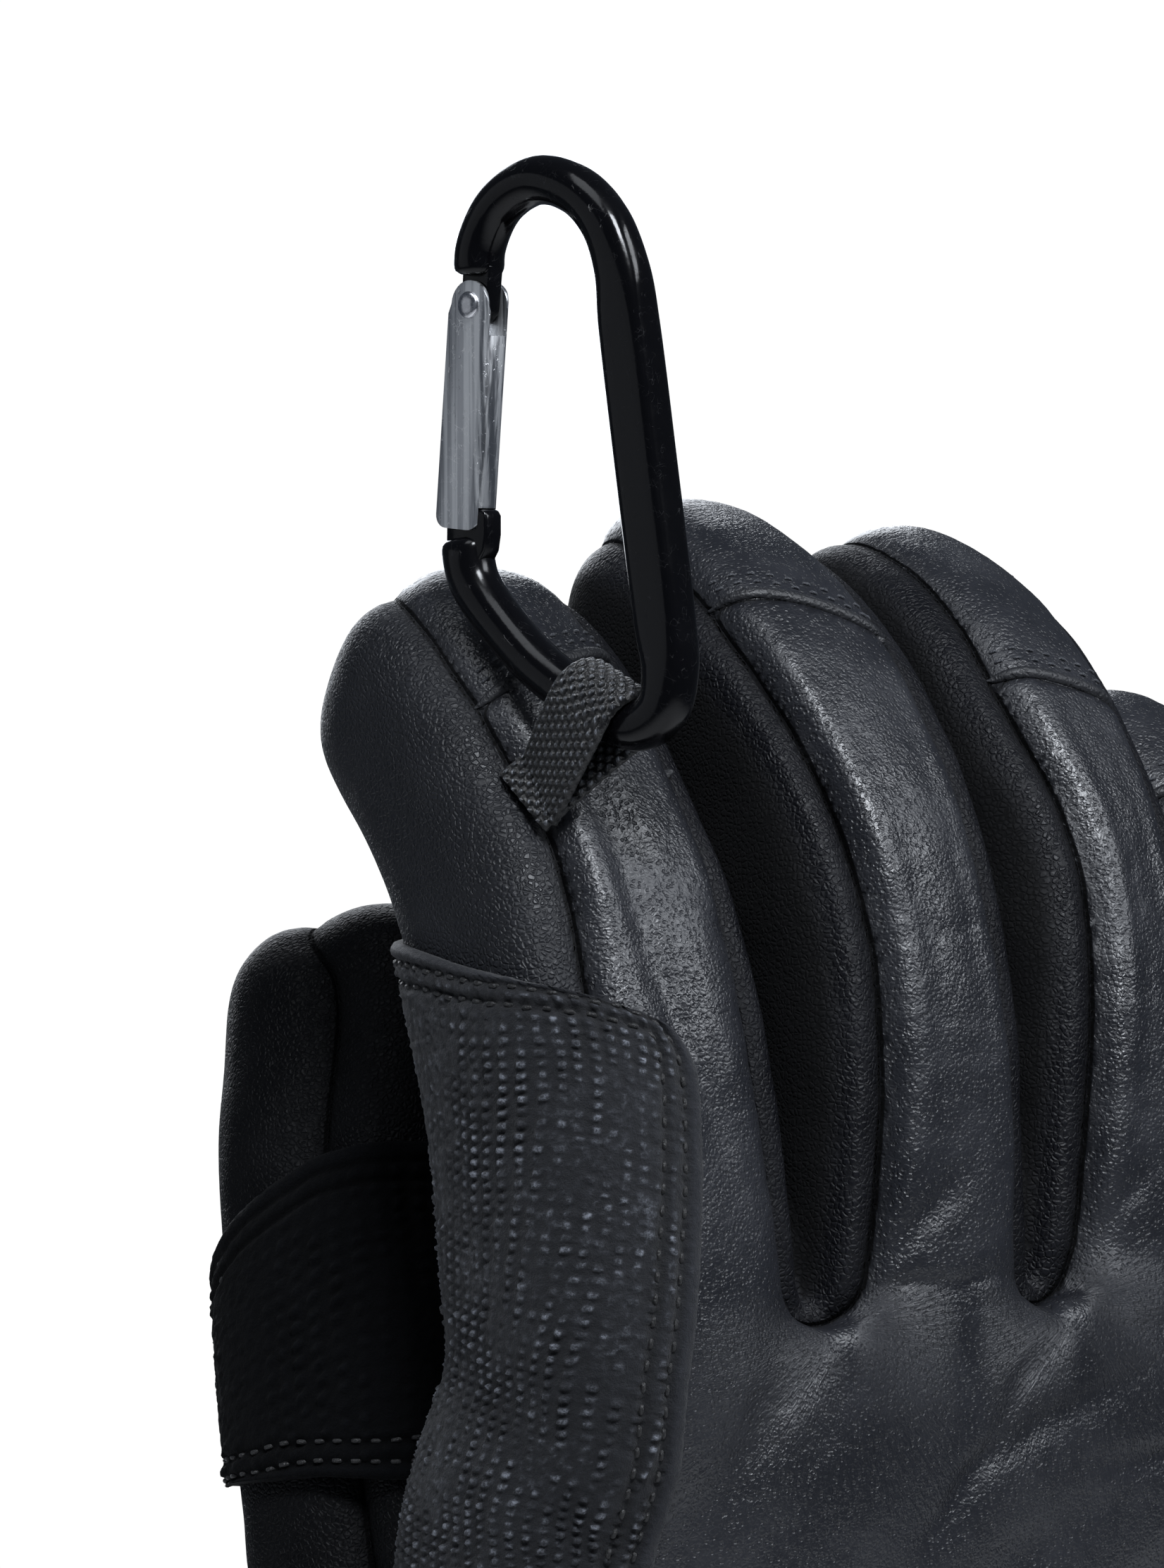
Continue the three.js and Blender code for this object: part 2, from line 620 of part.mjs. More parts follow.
// The webbing loop: up from the index finger's seam, over the carabiner's bottom bar and down again behind.
function hangLoop() {
  const slope = degToRad(WEB_BAR_SLOPE);
  const barDown = clipAlong.clone().multiplyScalar(Math.cos(slope))
    .addScaledVector(clipUp, Math.sin(slope));
  const barUp = clipAcross.clone().cross(barDown);
  const bar = clipPoint(WEB_BAR_U, WEB_BAR_V);
  const radius = BAR / 2 + WEB_THICK / 2 + WEB_CLEARANCE;
  const seam = digitFrame(index, WEB_ROOT);
  const below = digitFrame(index, WEB_ROOT - WEB_WIDTH);
  const seamDown = below.centre.clone().sub(seam.centre).normalize();
  const outward = seam.side.clone().multiplyScalar(-0.45).addScaledVector(seam.front, -0.89);
  const root = seam.centre.clone()
    .addScaledVector(seam.side, -9.4)
    .addScaledVector(seam.front, -13.6)
    .addScaledVector(outward, WEB_ROOT_LIFT);
  const ply = seamDown.clone().cross(outward).normalize();
  const plyOffset = WEB_THICK / 2 + 0.2;
  const away = root.clone().sub(bar);
  const facing = Math.atan2(away.dot(barUp), away.dot(clipAcross));
  const wrap = Math.PI * 1.1;
  const around = [];
  for (let k = 0; k <= 7; k += 1) {
    const angle = facing + Math.PI - wrap / 2 + (wrap * k) / 7;
    around.push(bar.clone()
      .addScaledVector(clipAcross, radius * Math.cos(angle))
      .addScaledVector(barUp, radius * Math.sin(angle)));
  }
  const stations = around.map((centre) => ({ centre, wide: barDown.clone() }));
  const nearRoot = root.clone().addScaledVector(ply, -plyOffset);
  const farRoot = root.clone().addScaledVector(ply, plyOffset);
  for (const share of [0.4, 0.75, 1]) {
    const wide = barDown.clone().lerp(seamDown, share);
    stations.unshift({ centre: around[0].clone().lerp(nearRoot, share), wide });
    stations.push({ centre: around[7].clone().lerp(farRoot, share), wide: wide.clone() });
  }
  return solid(loft(stations.map(({ centre, wide }, k) => {
    const before = stations[Math.max(0, k - 1)].centre;
    const after = stations[Math.min(stations.length - 1, k + 1)].centre;
    const travel = after.clone().sub(before).normalize();
    const side = wide.clone().addScaledVector(travel, -wide.dot(travel)).normalize();
    const thin = travel.clone().cross(side);
    const w = WEB_WIDTH / 2;
    const t = WEB_THICK / 2;
    return cornerRing({ centre, side, front: thin }, [[-w, -t], [w, -t], [w, t], [-w, t]]);
  })));
}
addMesh('hang_loop', hangLoop(), 0x101113, 0.9);

export default glove;
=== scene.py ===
# %% [markdown]
# A padded leather snowboard glove, hung by a webbing loop from a small carabiner.
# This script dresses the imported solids: it makes each leather panel again as a smooth,
# creased skin, adds stitches, welts and woven webbing, and paints every surface with
# node materials. All lengths in the tables are millimetres; MM turns them into metres.

# %% load the frame
import math
import bmesh
import bpy
import numpy as np
from mathutils import Matrix, Vector
from mathutils.bvhtree import BVHTree


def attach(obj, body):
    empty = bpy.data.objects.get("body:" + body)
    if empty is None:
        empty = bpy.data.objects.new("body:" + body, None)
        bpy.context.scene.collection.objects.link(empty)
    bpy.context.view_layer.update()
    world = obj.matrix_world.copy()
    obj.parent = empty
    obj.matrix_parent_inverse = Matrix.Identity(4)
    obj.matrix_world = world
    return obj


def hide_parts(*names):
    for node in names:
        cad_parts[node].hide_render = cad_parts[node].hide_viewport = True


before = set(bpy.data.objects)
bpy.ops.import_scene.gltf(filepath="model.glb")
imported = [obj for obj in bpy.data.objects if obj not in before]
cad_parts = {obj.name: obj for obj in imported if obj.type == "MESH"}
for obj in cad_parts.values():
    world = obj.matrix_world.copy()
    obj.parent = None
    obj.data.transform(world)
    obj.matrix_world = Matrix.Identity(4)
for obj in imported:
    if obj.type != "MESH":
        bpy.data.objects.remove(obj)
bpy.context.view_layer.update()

MM = 0.001

# %% [markdown]
# The camera looks almost level at the back of the hand from the thumb's side. Its place
# comes from the photograph: how far one sees round the carabiner and into the fingers.
# HANG_PIXEL is where the glove's hanging point lies in the picture.

# %% camera
AZIMUTH, ELEVATION, DISTANCE = math.radians(-36), math.radians(2), 550.0
PIXELS_PER_MM, SENSOR = 14.4, 36.0
IMAGE = (1652, 2226)
HANG_PIXEL = (790.0, 300.0)
right = np.array([math.cos(AZIMUTH), math.sin(AZIMUTH), 0.0])
towards = np.array([math.sin(AZIMUTH) * math.cos(ELEVATION), -math.cos(AZIMUTH) * math.cos(ELEVATION),
                    math.sin(ELEVATION)])
upwards = np.cross(towards, right)
aside, below = HANG_PIXEL[0] - IMAGE[0] / 2, HANG_PIXEL[1] - IMAGE[1] / 2
aim = (-right * aside + upwards * below) / PIXELS_PER_MM
eye = aim + towards * DISTANCE
camera = bpy.data.objects.new("camera", bpy.data.cameras.new("camera"))
bpy.context.scene.collection.objects.link(camera)
camera.matrix_world = Matrix([[*row, place * MM] for row, place in
                              zip(np.column_stack([right, upwards, towards]), eye)] + [[0, 0, 0, 1]])
camera.data.sensor_width = SENSOR
camera.data.lens = SENSOR * DISTANCE / (IMAGE[1] / PIXELS_PER_MM)
camera.data.clip_start, camera.data.clip_end = 0.01, 20
bpy.context.scene.camera = camera
print("camera lens", round(camera.data.lens, 1), "mm at", [round(c) for c in eye])
# %% [markdown]
# The same sizes as the solids. Each digit is a padded tube along a curled centre line.
# On a real glove the padding hides every hard edge, so the tubes are smooth here and
# carry many more rings than the solids do.

# %% sizes of the hand and the digits
DIGITS = {
    #        x     y     z    yaw lean tilt curl late length width depth
    "index": (6.3, -3.5, -109, 0, 0, 7, 56, 1.5, 79, 31, 30),
    "middle": (36.2, -4.5, -109, 0, 3, 3, 85, 1.8, 92, 28.5, 29),
    "ring": (63.8, -3.5, -108, 0, 4, 4, 84, 1.8, 88.5, 27.5, 28),
    "little": (89.8, 1, -111, 0, 3.5, 4, 66, 1.6, 67, 25.5, 26),
    "thumb": (9.8, 27.5, -176, -62, -14, 0, 30, 1.2, 108, 31, 32),
}
FINGERS = ("index", "middle", "ring", "little")
# Share of the length, then the share of the width and of the depth there.
FINGER_PROFILE = [(-0.5, 0.7, 0.55), (-0.12, 0.97, 0.95), (0, 1, 1), (0.2, 0.97, 0.98), (0.42, 0.98, 0.98),
                  (0.62, 0.95, 0.93), (0.76, 0.96, 0.93), (1, 0.9, 0.86)]
THUMB_PROFILE = [(-0.13, 0.5, 0.5), (0.05, 0.82, 0.84), (0.21, 0.96, 0.98), (0.38, 1, 1), (0.7, 0.98, 0.95),
                 (1, 0.92, 0.88)]
# Height, middle across, middle in depth, width and depth of the hand and the cuff.
HAND = [(-292, 45.5, 16.5, 114, 72), (-262, 45.5, 15.5, 107, 64), (-236, 45.5, 14.5, 98, 56),
        (-216, 45.5, 13.5, 95, 50), (-196, 45.5, 12.5, 99, 48), (-168, 46, 9, 107, 46),
        (-140, 46, 3.5, 114, 44), (-122, 47, 0, 115, 41), (-110, 48, -2.6, 110, 31)]
WRIST, CUFF_END, CROTCH = -216.0, -292.0, -110.0
TIP_ROUND = 12.0
TIP_BOXY = 2.6          # 2 is a round fingertip; larger is blunter
ROOT_SINK = 22         # degrees that a finger's root dives into the hand
BOXY_DIGIT, BOXY_HAND = 2.7, 2.9
LINE_STEP, RING_STEP = 0.5, 2.0


def read_off(where, stops, values):
    """Reads numbers or points that belong to stops along a line at other places on it."""
    if values.ndim == 1:
        return np.interp(where, stops, values)
    return np.stack([np.interp(where, stops, column) for column in values.T], axis=-1)


def unit(vectors):
    """The same directions, one long."""
    return vectors / np.maximum(1e-9, np.linalg.norm(vectors, axis=-1, keepdims=True))


def smooth_table(rows, places, column, reach):
    """Reads a column of a table at many places, with its corners rounded over `reach`."""
    rows = np.array(rows, float)
    offsets = np.linspace(-reach, reach, 9)
    spread = places[:, None] + offsets[None, :]
    return np.interp(spread, rows[:, 0], rows[:, column]).mean(axis=1)


class Digit:
    """A digit's centre line, with the direction across it and the one towards the palm."""

    def __init__(self, name):
        x, y, z, yaw, lean, tilt, curl, late, self.length, self.width, self.depth = DIGITS[name]
        turn = Matrix.Rotation(math.radians(yaw), 3, "Z") @ Matrix.Rotation(math.radians(lean), 3, "Y")
        self.side, palm, up = np.array(turn).T
        self.at = np.arange(-40, self.length + 20, LINE_STEP)
        sink = 0 if name == "thumb" else ROOT_SINK * np.clip(-self.at / 20, 0, 1)
        bend = np.radians(tilt - sink + curl * np.clip(self.at / self.length, 0, None) ** late)
        self.along = np.sin(bend)[:, None] * palm + np.cos(bend)[:, None] * up
        self.front = np.cos(bend)[:, None] * palm - np.sin(bend)[:, None] * up
        path = np.cumsum(self.along, axis=0) * LINE_STEP
        self.centre = path - path[np.argmin(abs(self.at))] + np.array([x, y, z])
        profile = THUMB_PROFILE if name == "thumb" else FINGER_PROFILE
        share = self.at / self.length
        self.wide = self.width * smooth_table(profile, share, 1, 0.06)
        self.deep = self.depth * smooth_table(profile, share, 2, 0.06)

    def read(self, values, distance):
        """A value of the centre line at any distances along it."""
        return read_off(distance, self.at, values)

    def locate(self, points):
        """Distance along the digit, across it and towards the palm, of many points."""
        coarse = np.arange(-36, self.length + 16, 4.0)
        centres = self.read(self.centre, coarse)
        gap = ((points[:, None, :] - centres[None]) ** 2).sum(axis=2)
        distance = coarse[gap.argmin(axis=1)]
        for _ in range(4):
            offset = points - self.read(self.centre, distance)
            step = (offset * self.read(self.along, distance)).sum(axis=1)
            distance = np.clip(distance + 0.8 * step, self.at[0] + 1, self.length + 19)
        offset = points - self.read(self.centre, distance)
        return distance, offset @ self.side, (offset * self.read(self.front, distance)).sum(axis=1)


digits = {name: Digit(name) for name in DIGITS}
print("digits reach up to", {name: round(float(d.centre[:, 2].max())) for name, d in digits.items()})

# %% rings and tubes


def ring_shape(boxy, count):
    """A unit ring: 2 is an ellipse and larger values are boxier."""
    angle = 2 * np.pi * (np.arange(count) + 0.5) / count
    c, s = np.cos(angle), np.sin(angle)
    return np.sign(c) * abs(c) ** (2 / boxy) / 2, np.sign(s) * abs(s) ** (2 / boxy) / 2


def tube_mesh(rings):
    """Corners and faces of a closed tube through rings of points of the same count."""
    rings = np.asarray(rings)
    rows, count = rings.shape[:2]
    corners = np.vstack([rings.reshape(-1, 3), rings[0].mean(axis=0), rings[-1].mean(axis=0)])
    i, j = np.meshgrid(np.arange(rows - 1), np.arange(count), indexing="ij")
    a, b = i * count + j, i * count + (j + 1) % count
    quads = np.stack([a, b, b + count, a + count], axis=-1).reshape(-1, 4).tolist()
    first, last = rows * count, rows * count + 1
    ends = [(first, (k + 1) % count, k) for k in range(count)]
    top = (rows - 1) * count
    ends += [(last, top + k, top + (k + 1) % count) for k in range(count)]
    return corners, quads + ends


def digit_tube(digit, start, count=56):
    """A digit as a closed tube, from a distance along it up to its rounded tip."""
    dome = digit.length - TIP_ROUND
    body = np.arange(start, dome, RING_STEP)
    tip = np.sin(np.linspace(0, 0.47 * np.pi, 12))
    stops = np.append(body, dome + TIP_ROUND * tip)
    scale = np.append(np.ones(len(body)), (1 - tip ** TIP_BOXY) ** (1 / TIP_BOXY))
    x, y = ring_shape(BOXY_DIGIT, count)
    centre, front = digit.read(digit.centre, stops), digit.read(digit.front, stops)
    wide, deep = digit.read(digit.wide, stops) * scale, digit.read(digit.deep, stops) * scale
    return tube_mesh(centre[:, None] + x[None, :, None] * wide[:, None, None] * digit.side
                     + y[None, :, None] * deep[:, None, None] * front[:, None])


def hand_tube(low, high, count=120):
    """The hand and the cuff as one closed tube between two heights."""
    heights = np.arange(low, high + 0.1, RING_STEP)
    x, y = ring_shape(BOXY_HAND, count)
    mid_x, mid_y, wide, deep = (smooth_table(HAND, heights, column, 8) for column in (1, 2, 3, 4))
    rings = np.stack([mid_x[:, None] + x * wide[:, None], mid_y[:, None] + y * deep[:, None],
                      np.repeat(heights[:, None], count, axis=1)], axis=-1)
    return tube_mesh(rings)


# %% [markdown]
# The tubes are fused into one skin. Remeshing by voxels gives an even net of small squares
# over the whole glove, with no poles at the fingertips, which takes creases well. A few
# rounds of smoothing then soften the valleys where a finger meets the hand.

# %% fuse the tubes into one skin
VOXEL = 0.92            # the side of a square of the net
DIGIT_START, THUMB_START = -34, -12
WEB_HEIGHT, WEB_REACH, WEB_ROUNDS = -116.0, 9.0, 26


def new_mesh(name, corners, faces):
    mesh = bpy.data.meshes.new(name)
    mesh.from_pydata(np.asarray(corners).tolist(), [], faces)
    return mesh


def add_object(name, mesh):
    piece = bpy.data.objects.new(name, mesh)
    bpy.context.scene.collection.objects.link(piece)
    return piece


def evaluated(piece):
    return piece.evaluated_get(bpy.context.evaluated_depsgraph_get())


def stacked(parts):
    """The corners and faces of several parts as one list of each."""
    corners, faces, first = [], [], 0
    for part_corners, part_faces in parts:
        corners.append(part_corners)
        faces += [tuple(first + k for k in face) for face in part_faces]
        first += len(part_corners)
    return np.vstack(corners), faces


def fused(parts, voxel):
    """One even skin of squares round all the closed parts together."""
    lump = add_object("lump", new_mesh("lump", *stacked(parts)))
    remesh = lump.modifiers.new("remesh", "REMESH")
    remesh.mode, remesh.voxel_size = "VOXEL", voxel
    even = evaluated(lump).to_mesh()
    points = np.empty(len(even.vertices) * 3)
    even.vertices.foreach_get("co", points)
    quads = np.empty(len(even.loops), int)
    even.loops.foreach_get("vertex_index", quads)
    lump.to_mesh_clear()
    bpy.data.objects.remove(lump)
    return points.reshape(-1, 3), quads.reshape(-1, 4)


def sides_of(quads):
    """The four sides of every square, each as two corners; all first sides, then all second ones."""
    return np.vstack([quads[:, [k, (k + 1) % 4]] for k in range(4)])


def edges_of(quads):
    return np.unique(np.sort(sides_of(quads), axis=1), axis=0)


def summed(corners, values, count):
    """The sum of the values that belong to each corner."""
    return np.stack([np.bincount(corners, column, count) for column in values.T], axis=1)


def neighbour_mean(values, edges, count):
    """The mean of each corner's neighbours, for a list of numbers or of points."""
    values = values.reshape(len(values), -1)
    one, other = edges.T
    total = summed(one, values[other], count) + summed(other, values[one], count)
    return total / np.maximum(1, np.bincount(edges.ravel(), minlength=count))[:, None]


def eased(points, edges, weight):
    """Moves every corner towards its neighbours' middle, by half of its own weight."""
    return points + 0.5 * weight[:, None] * (neighbour_mean(points, edges, len(points)) - points)


def relaxed(points, edges, rounds):
    """Smooths without shrinking: each round pulls in, then pushes out a touch further."""
    for _ in range(rounds):
        for sign in (1, -1.02):
            points = points + sign * 0.5 * (neighbour_mean(points, edges, len(points)) - points)
    return points


def corner_normals(points, quads):
    a, b, c, d = (points[quads[:, k]] for k in range(4))
    across = np.cross(c - a, d - b)
    return unit(summed(quads.ravel(), np.repeat(across, 4, axis=0), len(points)))


tubes = [digit_tube(digits[name], THUMB_START if name == "thumb" else DIGIT_START) for name in DIGITS]
skin, quads = fused(tubes + [hand_tube(CUFF_END - 6, CROTCH)], VOXEL)
edges = edges_of(quads)
skin = relaxed(skin, edges, 6)
# The hand's end is cut open where the wrist goes in.
kept = (skin[quads][:, :, 2] > CUFF_END - 0.5 * VOXEL).all(axis=1)
used, quads = np.unique(quads[kept], return_inverse=True)
skin, quads = skin[used], quads.reshape(-1, 4)
edges = edges_of(quads)
hem = skin[:, 2] < CUFF_END + 0.6 * VOXEL
skin[hem, 2] = CUFF_END


def near_webs(points):
    """One at the height where the fingers part, fading above and below."""
    return np.exp(-((points[:, 2] - WEB_HEIGHT) / WEB_REACH) ** 2)


# The web between the fingers and the roots are rounded much more.
web = near_webs(skin) * (skin[:, 1] < 22)
for _ in range(WEB_ROUNDS):
    skin = eased(skin, edges, web)
print("skin:", len(skin), "corners", len(quads), "squares")
# %% [markdown]
# A glove is sewn from flat leather. A strip of back leather runs up each finger between two
# seams, walls called fourchettes join neighbouring fingers, and caps cover the tips. Each
# corner of the skin is told how far it is from every seam, so that the panels can puff up,
# the seams can sink in, and the net can be parted along them.

# %% where the seams run
# Distance along the finger, then how far each seam lies from its middle line, in millimetres.
BACK_SEAMS = {
    ("index", -1): [(-8, 13), (0, 10.5), (10, 10), (29, 9.7), (43, 8.6), (51, 10), (62, 10.8),
                    (79, 10.5)],
    ("index", 1): [(-6, 30), (-3, 15), (0, 12.6), (6, 11.6), (20, 11), (60, 10), (79, 9)],
    ("middle", -1): [(-6, 30), (-2.6, 14.2), (0.4, 10.4), (8.7, 9.3), (20, 8.1), (32, 7.7), (42, 8.5),
                     (50, 9.5), (58, 10.7), (65, 11.3), (92, 11)],
    ("middle", 1): [(-6, 30), (-3, 14.2), (0, 11.6), (6, 10.6), (20, 10), (60, 8.4), (92, 8)],
    ("ring", -1): [(-6, 30), (-3.2, 13.6), (-2, 10.6), (2, 9.2), (9, 8.5), (20, 7), (31, 5.5), (37, 5.1),
                   (44, 5.8), (50, 7.3), (56, 8), (67, 7.5), (88, 7)],
    ("ring", 1): [(-6, 30), (-3, 13.6), (0, 11), (6, 10.2), (20, 9.6), (60, 8.8), (88, 8)],
    ("little", -1): [(-6, 30), (-3, 12.6), (0, 10), (6, 9), (20, 8.4), (67, 8)],
    ("little", 1): [(-8, 11), (0, 9.6), (20, 8.8), (67, 8)],
}
PALM_SEAM = [(-6, 16), (-3, 12), (2, 9), (40, 8.6), (95, 8)]
OUTER_PALM_SEAM = [(-8, 11), (0, 9.5), (40, 8.6), (95, 8)]
# Where each cap's cross seam lies on the middle line, and how much it slants per millimetre across.
CAP_SEAMS = {"index": (59.5, 0.25), "middle": (64.2, -0.33), "ring": (55.4, -0.2), "little": (47, 0)}
THUMB_SEAM = [(-14, 3.5), (60, 3), (78, 1.9), (86, 3), (93, 3.9), (97, 3), (102, -1), (108, -3)]
HAND_EDGE_HALF = 10.0


def arc_table(boxy):
    """For a unit ring: turn from the back's middle line, and the length of leather up to there."""
    angle = np.linspace(-np.pi / 2, np.pi / 2, 2001) - np.pi / 2
    c, s = np.cos(angle), np.sin(angle)
    x, y = np.sign(c) * abs(c) ** (2 / boxy), np.sign(s) * abs(s) ** (2 / boxy)
    half = np.append(0, np.cumsum(np.hypot(np.diff(x), np.diff(y))))
    turn = np.unwrap(np.arctan2(x, -y))
    middle = len(half) // 2
    return turn - turn[middle], half - half[middle], x


def arc_around(boxy, x, y):
    """Length of leather on a unit ring from the back's middle line; negative on the thumb's side."""
    turn, length, _ = tables[boxy]
    angle = np.arctan2(x, -y)
    near = abs(angle) <= np.pi / 2
    quarter = length[-1]
    mirrored = np.where(angle >= 0, np.pi, -np.pi) - angle
    beyond = np.sign(angle) * (2 * quarter - abs(np.interp(mirrored, turn, length)))
    return np.where(near, np.interp(angle, turn, length), beyond)


def arc_of_width(boxy, x):
    """The same length, up to a place given by how far across it lies."""
    _, length, across = tables[boxy]
    return np.interp(x, across, length)


tables = {boxy: arc_table(boxy) for boxy in (BOXY_DIGIT, BOXY_HAND)}


def smoothstep(low, high, value):
    share = np.clip((value - low) / (high - low), 0, 1)
    return share * share * (3 - 2 * share)


def rim_share(boxy, x, y):
    """How far out a place lies on a unit ring: 1 is on the ring itself."""
    return (abs(x) ** boxy + abs(y) ** boxy) ** (1 / boxy)


class Place:
    """Where every corner lies in one digit's own measures."""

    def __init__(self, digit, points):
        self.digit = digit
        self.s, self.x, self.y = digit.locate(points)
        wide, deep = digit.read(digit.wide, self.s) / 2, digit.read(digit.deep, self.s) / 2
        beyond = np.clip((self.s - (digit.length - TIP_ROUND)) / TIP_ROUND, 0, 0.999)
        self.dome = (1 - beyond ** TIP_BOXY) ** (1 / TIP_BOXY)
        self.rho = rim_share(BOXY_DIGIT, self.x / wide, self.y / deep) / self.dome
        self.size = (wide + deep) / 2 * self.dome
        self.wide = wide
        self.arc = arc_around(BOXY_DIGIT, self.x / wide, self.y / deep) * self.size

    def seam(self, rows, palm=False):
        """Length of leather from the back's middle line to a seam of a table, at every corner."""
        across = np.interp(self.s, *np.array(rows, float).T)
        share = arc_of_width(BOXY_DIGIT, np.clip(across / self.wide, 0, 1))
        full = 2 * tables[BOXY_DIGIT][1][-1]
        beyond = np.clip(across - self.wide, 0, None) * 2
        return (full - share) * self.size - beyond if palm else share * self.size + beyond


places = {name: Place(digits[name], skin) for name in DIGITS}
hand_x, hand_y, hand_wide, hand_deep = (smooth_table(HAND, skin[:, 2], column, 8)
                                        for column in (1, 2, 3, 4))
hand_across, hand_front = skin[:, 0] - hand_x, skin[:, 1] - hand_y
hand_ring = BOXY_HAND, hand_across / hand_wide * 2, hand_front / hand_deep * 2
hand_share = arc_around(*hand_ring)
quarter = tables[BOXY_HAND][1][-1]
hand_edge = (abs(hand_share) - quarter) * (0.35 * hand_wide / 2 + 0.65 * hand_deep / 2)

# %% which digit each corner belongs to
count = len(skin)
finger_rho = np.stack([np.where((places[n].s > -14) & (places[n].s < digits[n].length + 4), places[n].rho, 9)
                       for n in FINGERS])
nearest = finger_rho.argmin(axis=0)
finger_s = np.choose(nearest, [places[n].s for n in FINGERS])
on_thumb = (places["thumb"].rho < 1.12) & (places["thumb"].s > 4) & (skin[:, 2] < -60)
on_thumb &= (rim_share(*hand_ring) > 1.04) | (skin[:, 2] > CROTCH)
on_thumb &= places["thumb"].rho < finger_rho.min(axis=0)
print("corners on the thumb:", int(on_thumb.sum()))

back_side = np.full(count, 99.0)   # positive on the back leather, negative on a side wall
palm_side = np.full(count, 99.0)   # positive on the palm leather
for k, name in enumerate(FINGERS):
    place = places[name]
    for sign in (-1, 1):
        mine = (nearest == k) & ((place.arc >= 0) == (sign > 0))
        outer = (name, sign) in (("index", -1), ("little", 1))
        beside = abs(place.arc)
        to_back = place.seam(BACK_SEAMS[name, sign]) - beside
        to_palm = beside - place.seam(OUTER_PALM_SEAM if outer else PALM_SEAM, palm=True)
        if outer:
            up = smoothstep(-12, 4, place.s)
            to_back = up * to_back + (1 - up) * (-hand_edge - HAND_EDGE_HALF)
            to_palm = up * to_palm + (1 - up) * (hand_edge - HAND_EDGE_HALF)
        back_side[mine], palm_side[mine] = to_back[mine], to_palm[mine]
low = finger_rho.min(axis=0) > 8
back_side[low] = (-hand_edge - HAND_EDGE_HALF)[low]
palm_side[low] = (hand_edge - HAND_EDGE_HALF)[low]
print("wall corners:", int(((back_side < 0) & (palm_side < 0)).sum()))

cap_side = np.full(count, -99.0)   # positive on a fingertip cap
for k, name in enumerate(FINGERS):
    place = places[name]
    start, slant = CAP_SEAMS[name]
    mine = (nearest == k) & ~on_thumb
    cap_side[mine] = (place.s - start - slant * place.x)[mine]
thumb = places["thumb"]
thumb_side = thumb.x - np.interp(thumb.s, *np.array(THUMB_SEAM, float).T)   # positive on the inner half
wrist_side = WRIST - skin[:, 2]                                     # positive on the cuff

# %% name the panel of every corner
PANELS = ["back_panel", "palm_panel", "index_side_panel", "fourchette_index_middle", "fourchette_middle_ring",
          "fourchette_ring_little", "little_side_panel", *("fingertip_cap_" + name for name in FINGERS),
          "thumb_outer_panel", "thumb_inner_panel", "cuff_panel"]
BACK, PALM, FIRST_WALL, FIRST_CAP, THUMB_OUTER, THUMB_INNER, CUFF = 0, 1, 2, 7, 11, 12, 13
panel = np.where(skin[:, 1] < hand_y, BACK, PALM)
digit_front = np.choose(nearest, [places[n].y for n in FINGERS])
panel = np.where(finger_s > 0, np.where(digit_front < 0, BACK, PALM), panel)
wall = (back_side < 0) & (palm_side < 0)
wall_of = np.zeros(count, int)
for k, name in enumerate(FINGERS):
    mine = nearest == k
    wall_of[mine] = np.where(places[name].arc[mine] < 0, k, k + 1)
wall_of = np.where(low, np.where(hand_across < 0, 0, 4), wall_of)
panel = np.where(wall, FIRST_WALL + wall_of, panel)
on_cap = (cap_side > 0) & (panel == BACK) & (finger_s > 20)
panel = np.where(on_cap, FIRST_CAP + nearest, panel)
panel = np.where(on_thumb, np.where(thumb_side < 0, THUMB_OUTER, THUMB_INNER), panel)
panel = np.where(wrist_side > 0, CUFF, panel)
print({name: int((panel == k).sum()) for k, name in enumerate(PANELS)})
# %% [markdown]
# Relief. Padding pushes every panel out, and the thread pulls the leather in at the seams.
# Where a finger bends the leather folds across it, and from each crotch creases run out
# into the hand. All of it moves the corners along the skin's own normals.

# %% smooth noise
LATTICE = 24
lattice = np.random.default_rng(7).uniform(-1, 1, (LATTICE, LATTICE, LATTICE))


def noise(points):
    """Smooth random values from -1 to 1 at points; one bump is about one unit wide."""
    base = np.floor(points).astype(int)
    part = points - base
    part = part * part * (3 - 2 * part)
    total = 0
    for corner in range(8):
        step = np.array([corner & 1, corner >> 1 & 1, corner >> 2])
        cell = (base + step) % LATTICE
        weight = np.prod(np.where(step, part, 1 - part), axis=1)
        total = total + weight * lattice[cell[:, 0], cell[:, 1], cell[:, 2]]
    return total


def ridges(points):
    """Thin creases between broad pillows: near 1 on a crease and 0 elsewhere."""
    return np.clip(1 - abs(noise(points)) * 5, 0, 1)


# %% seams and puffed panels
SEAM_DEPTH, SEAM_WIDTH = 1.6, 1.4
TIP_DEPTH = 0.4        # share of the depth that a seam keeps at a fingertip
PUFF, PUFF_REACH = 0.9, 4.0
CAP_STEP, HEM_ROLL, RIDGE, RIM_ROLL, WALL_BULGE = 0.8, 1.2, 0.85, 0.4, 0.9

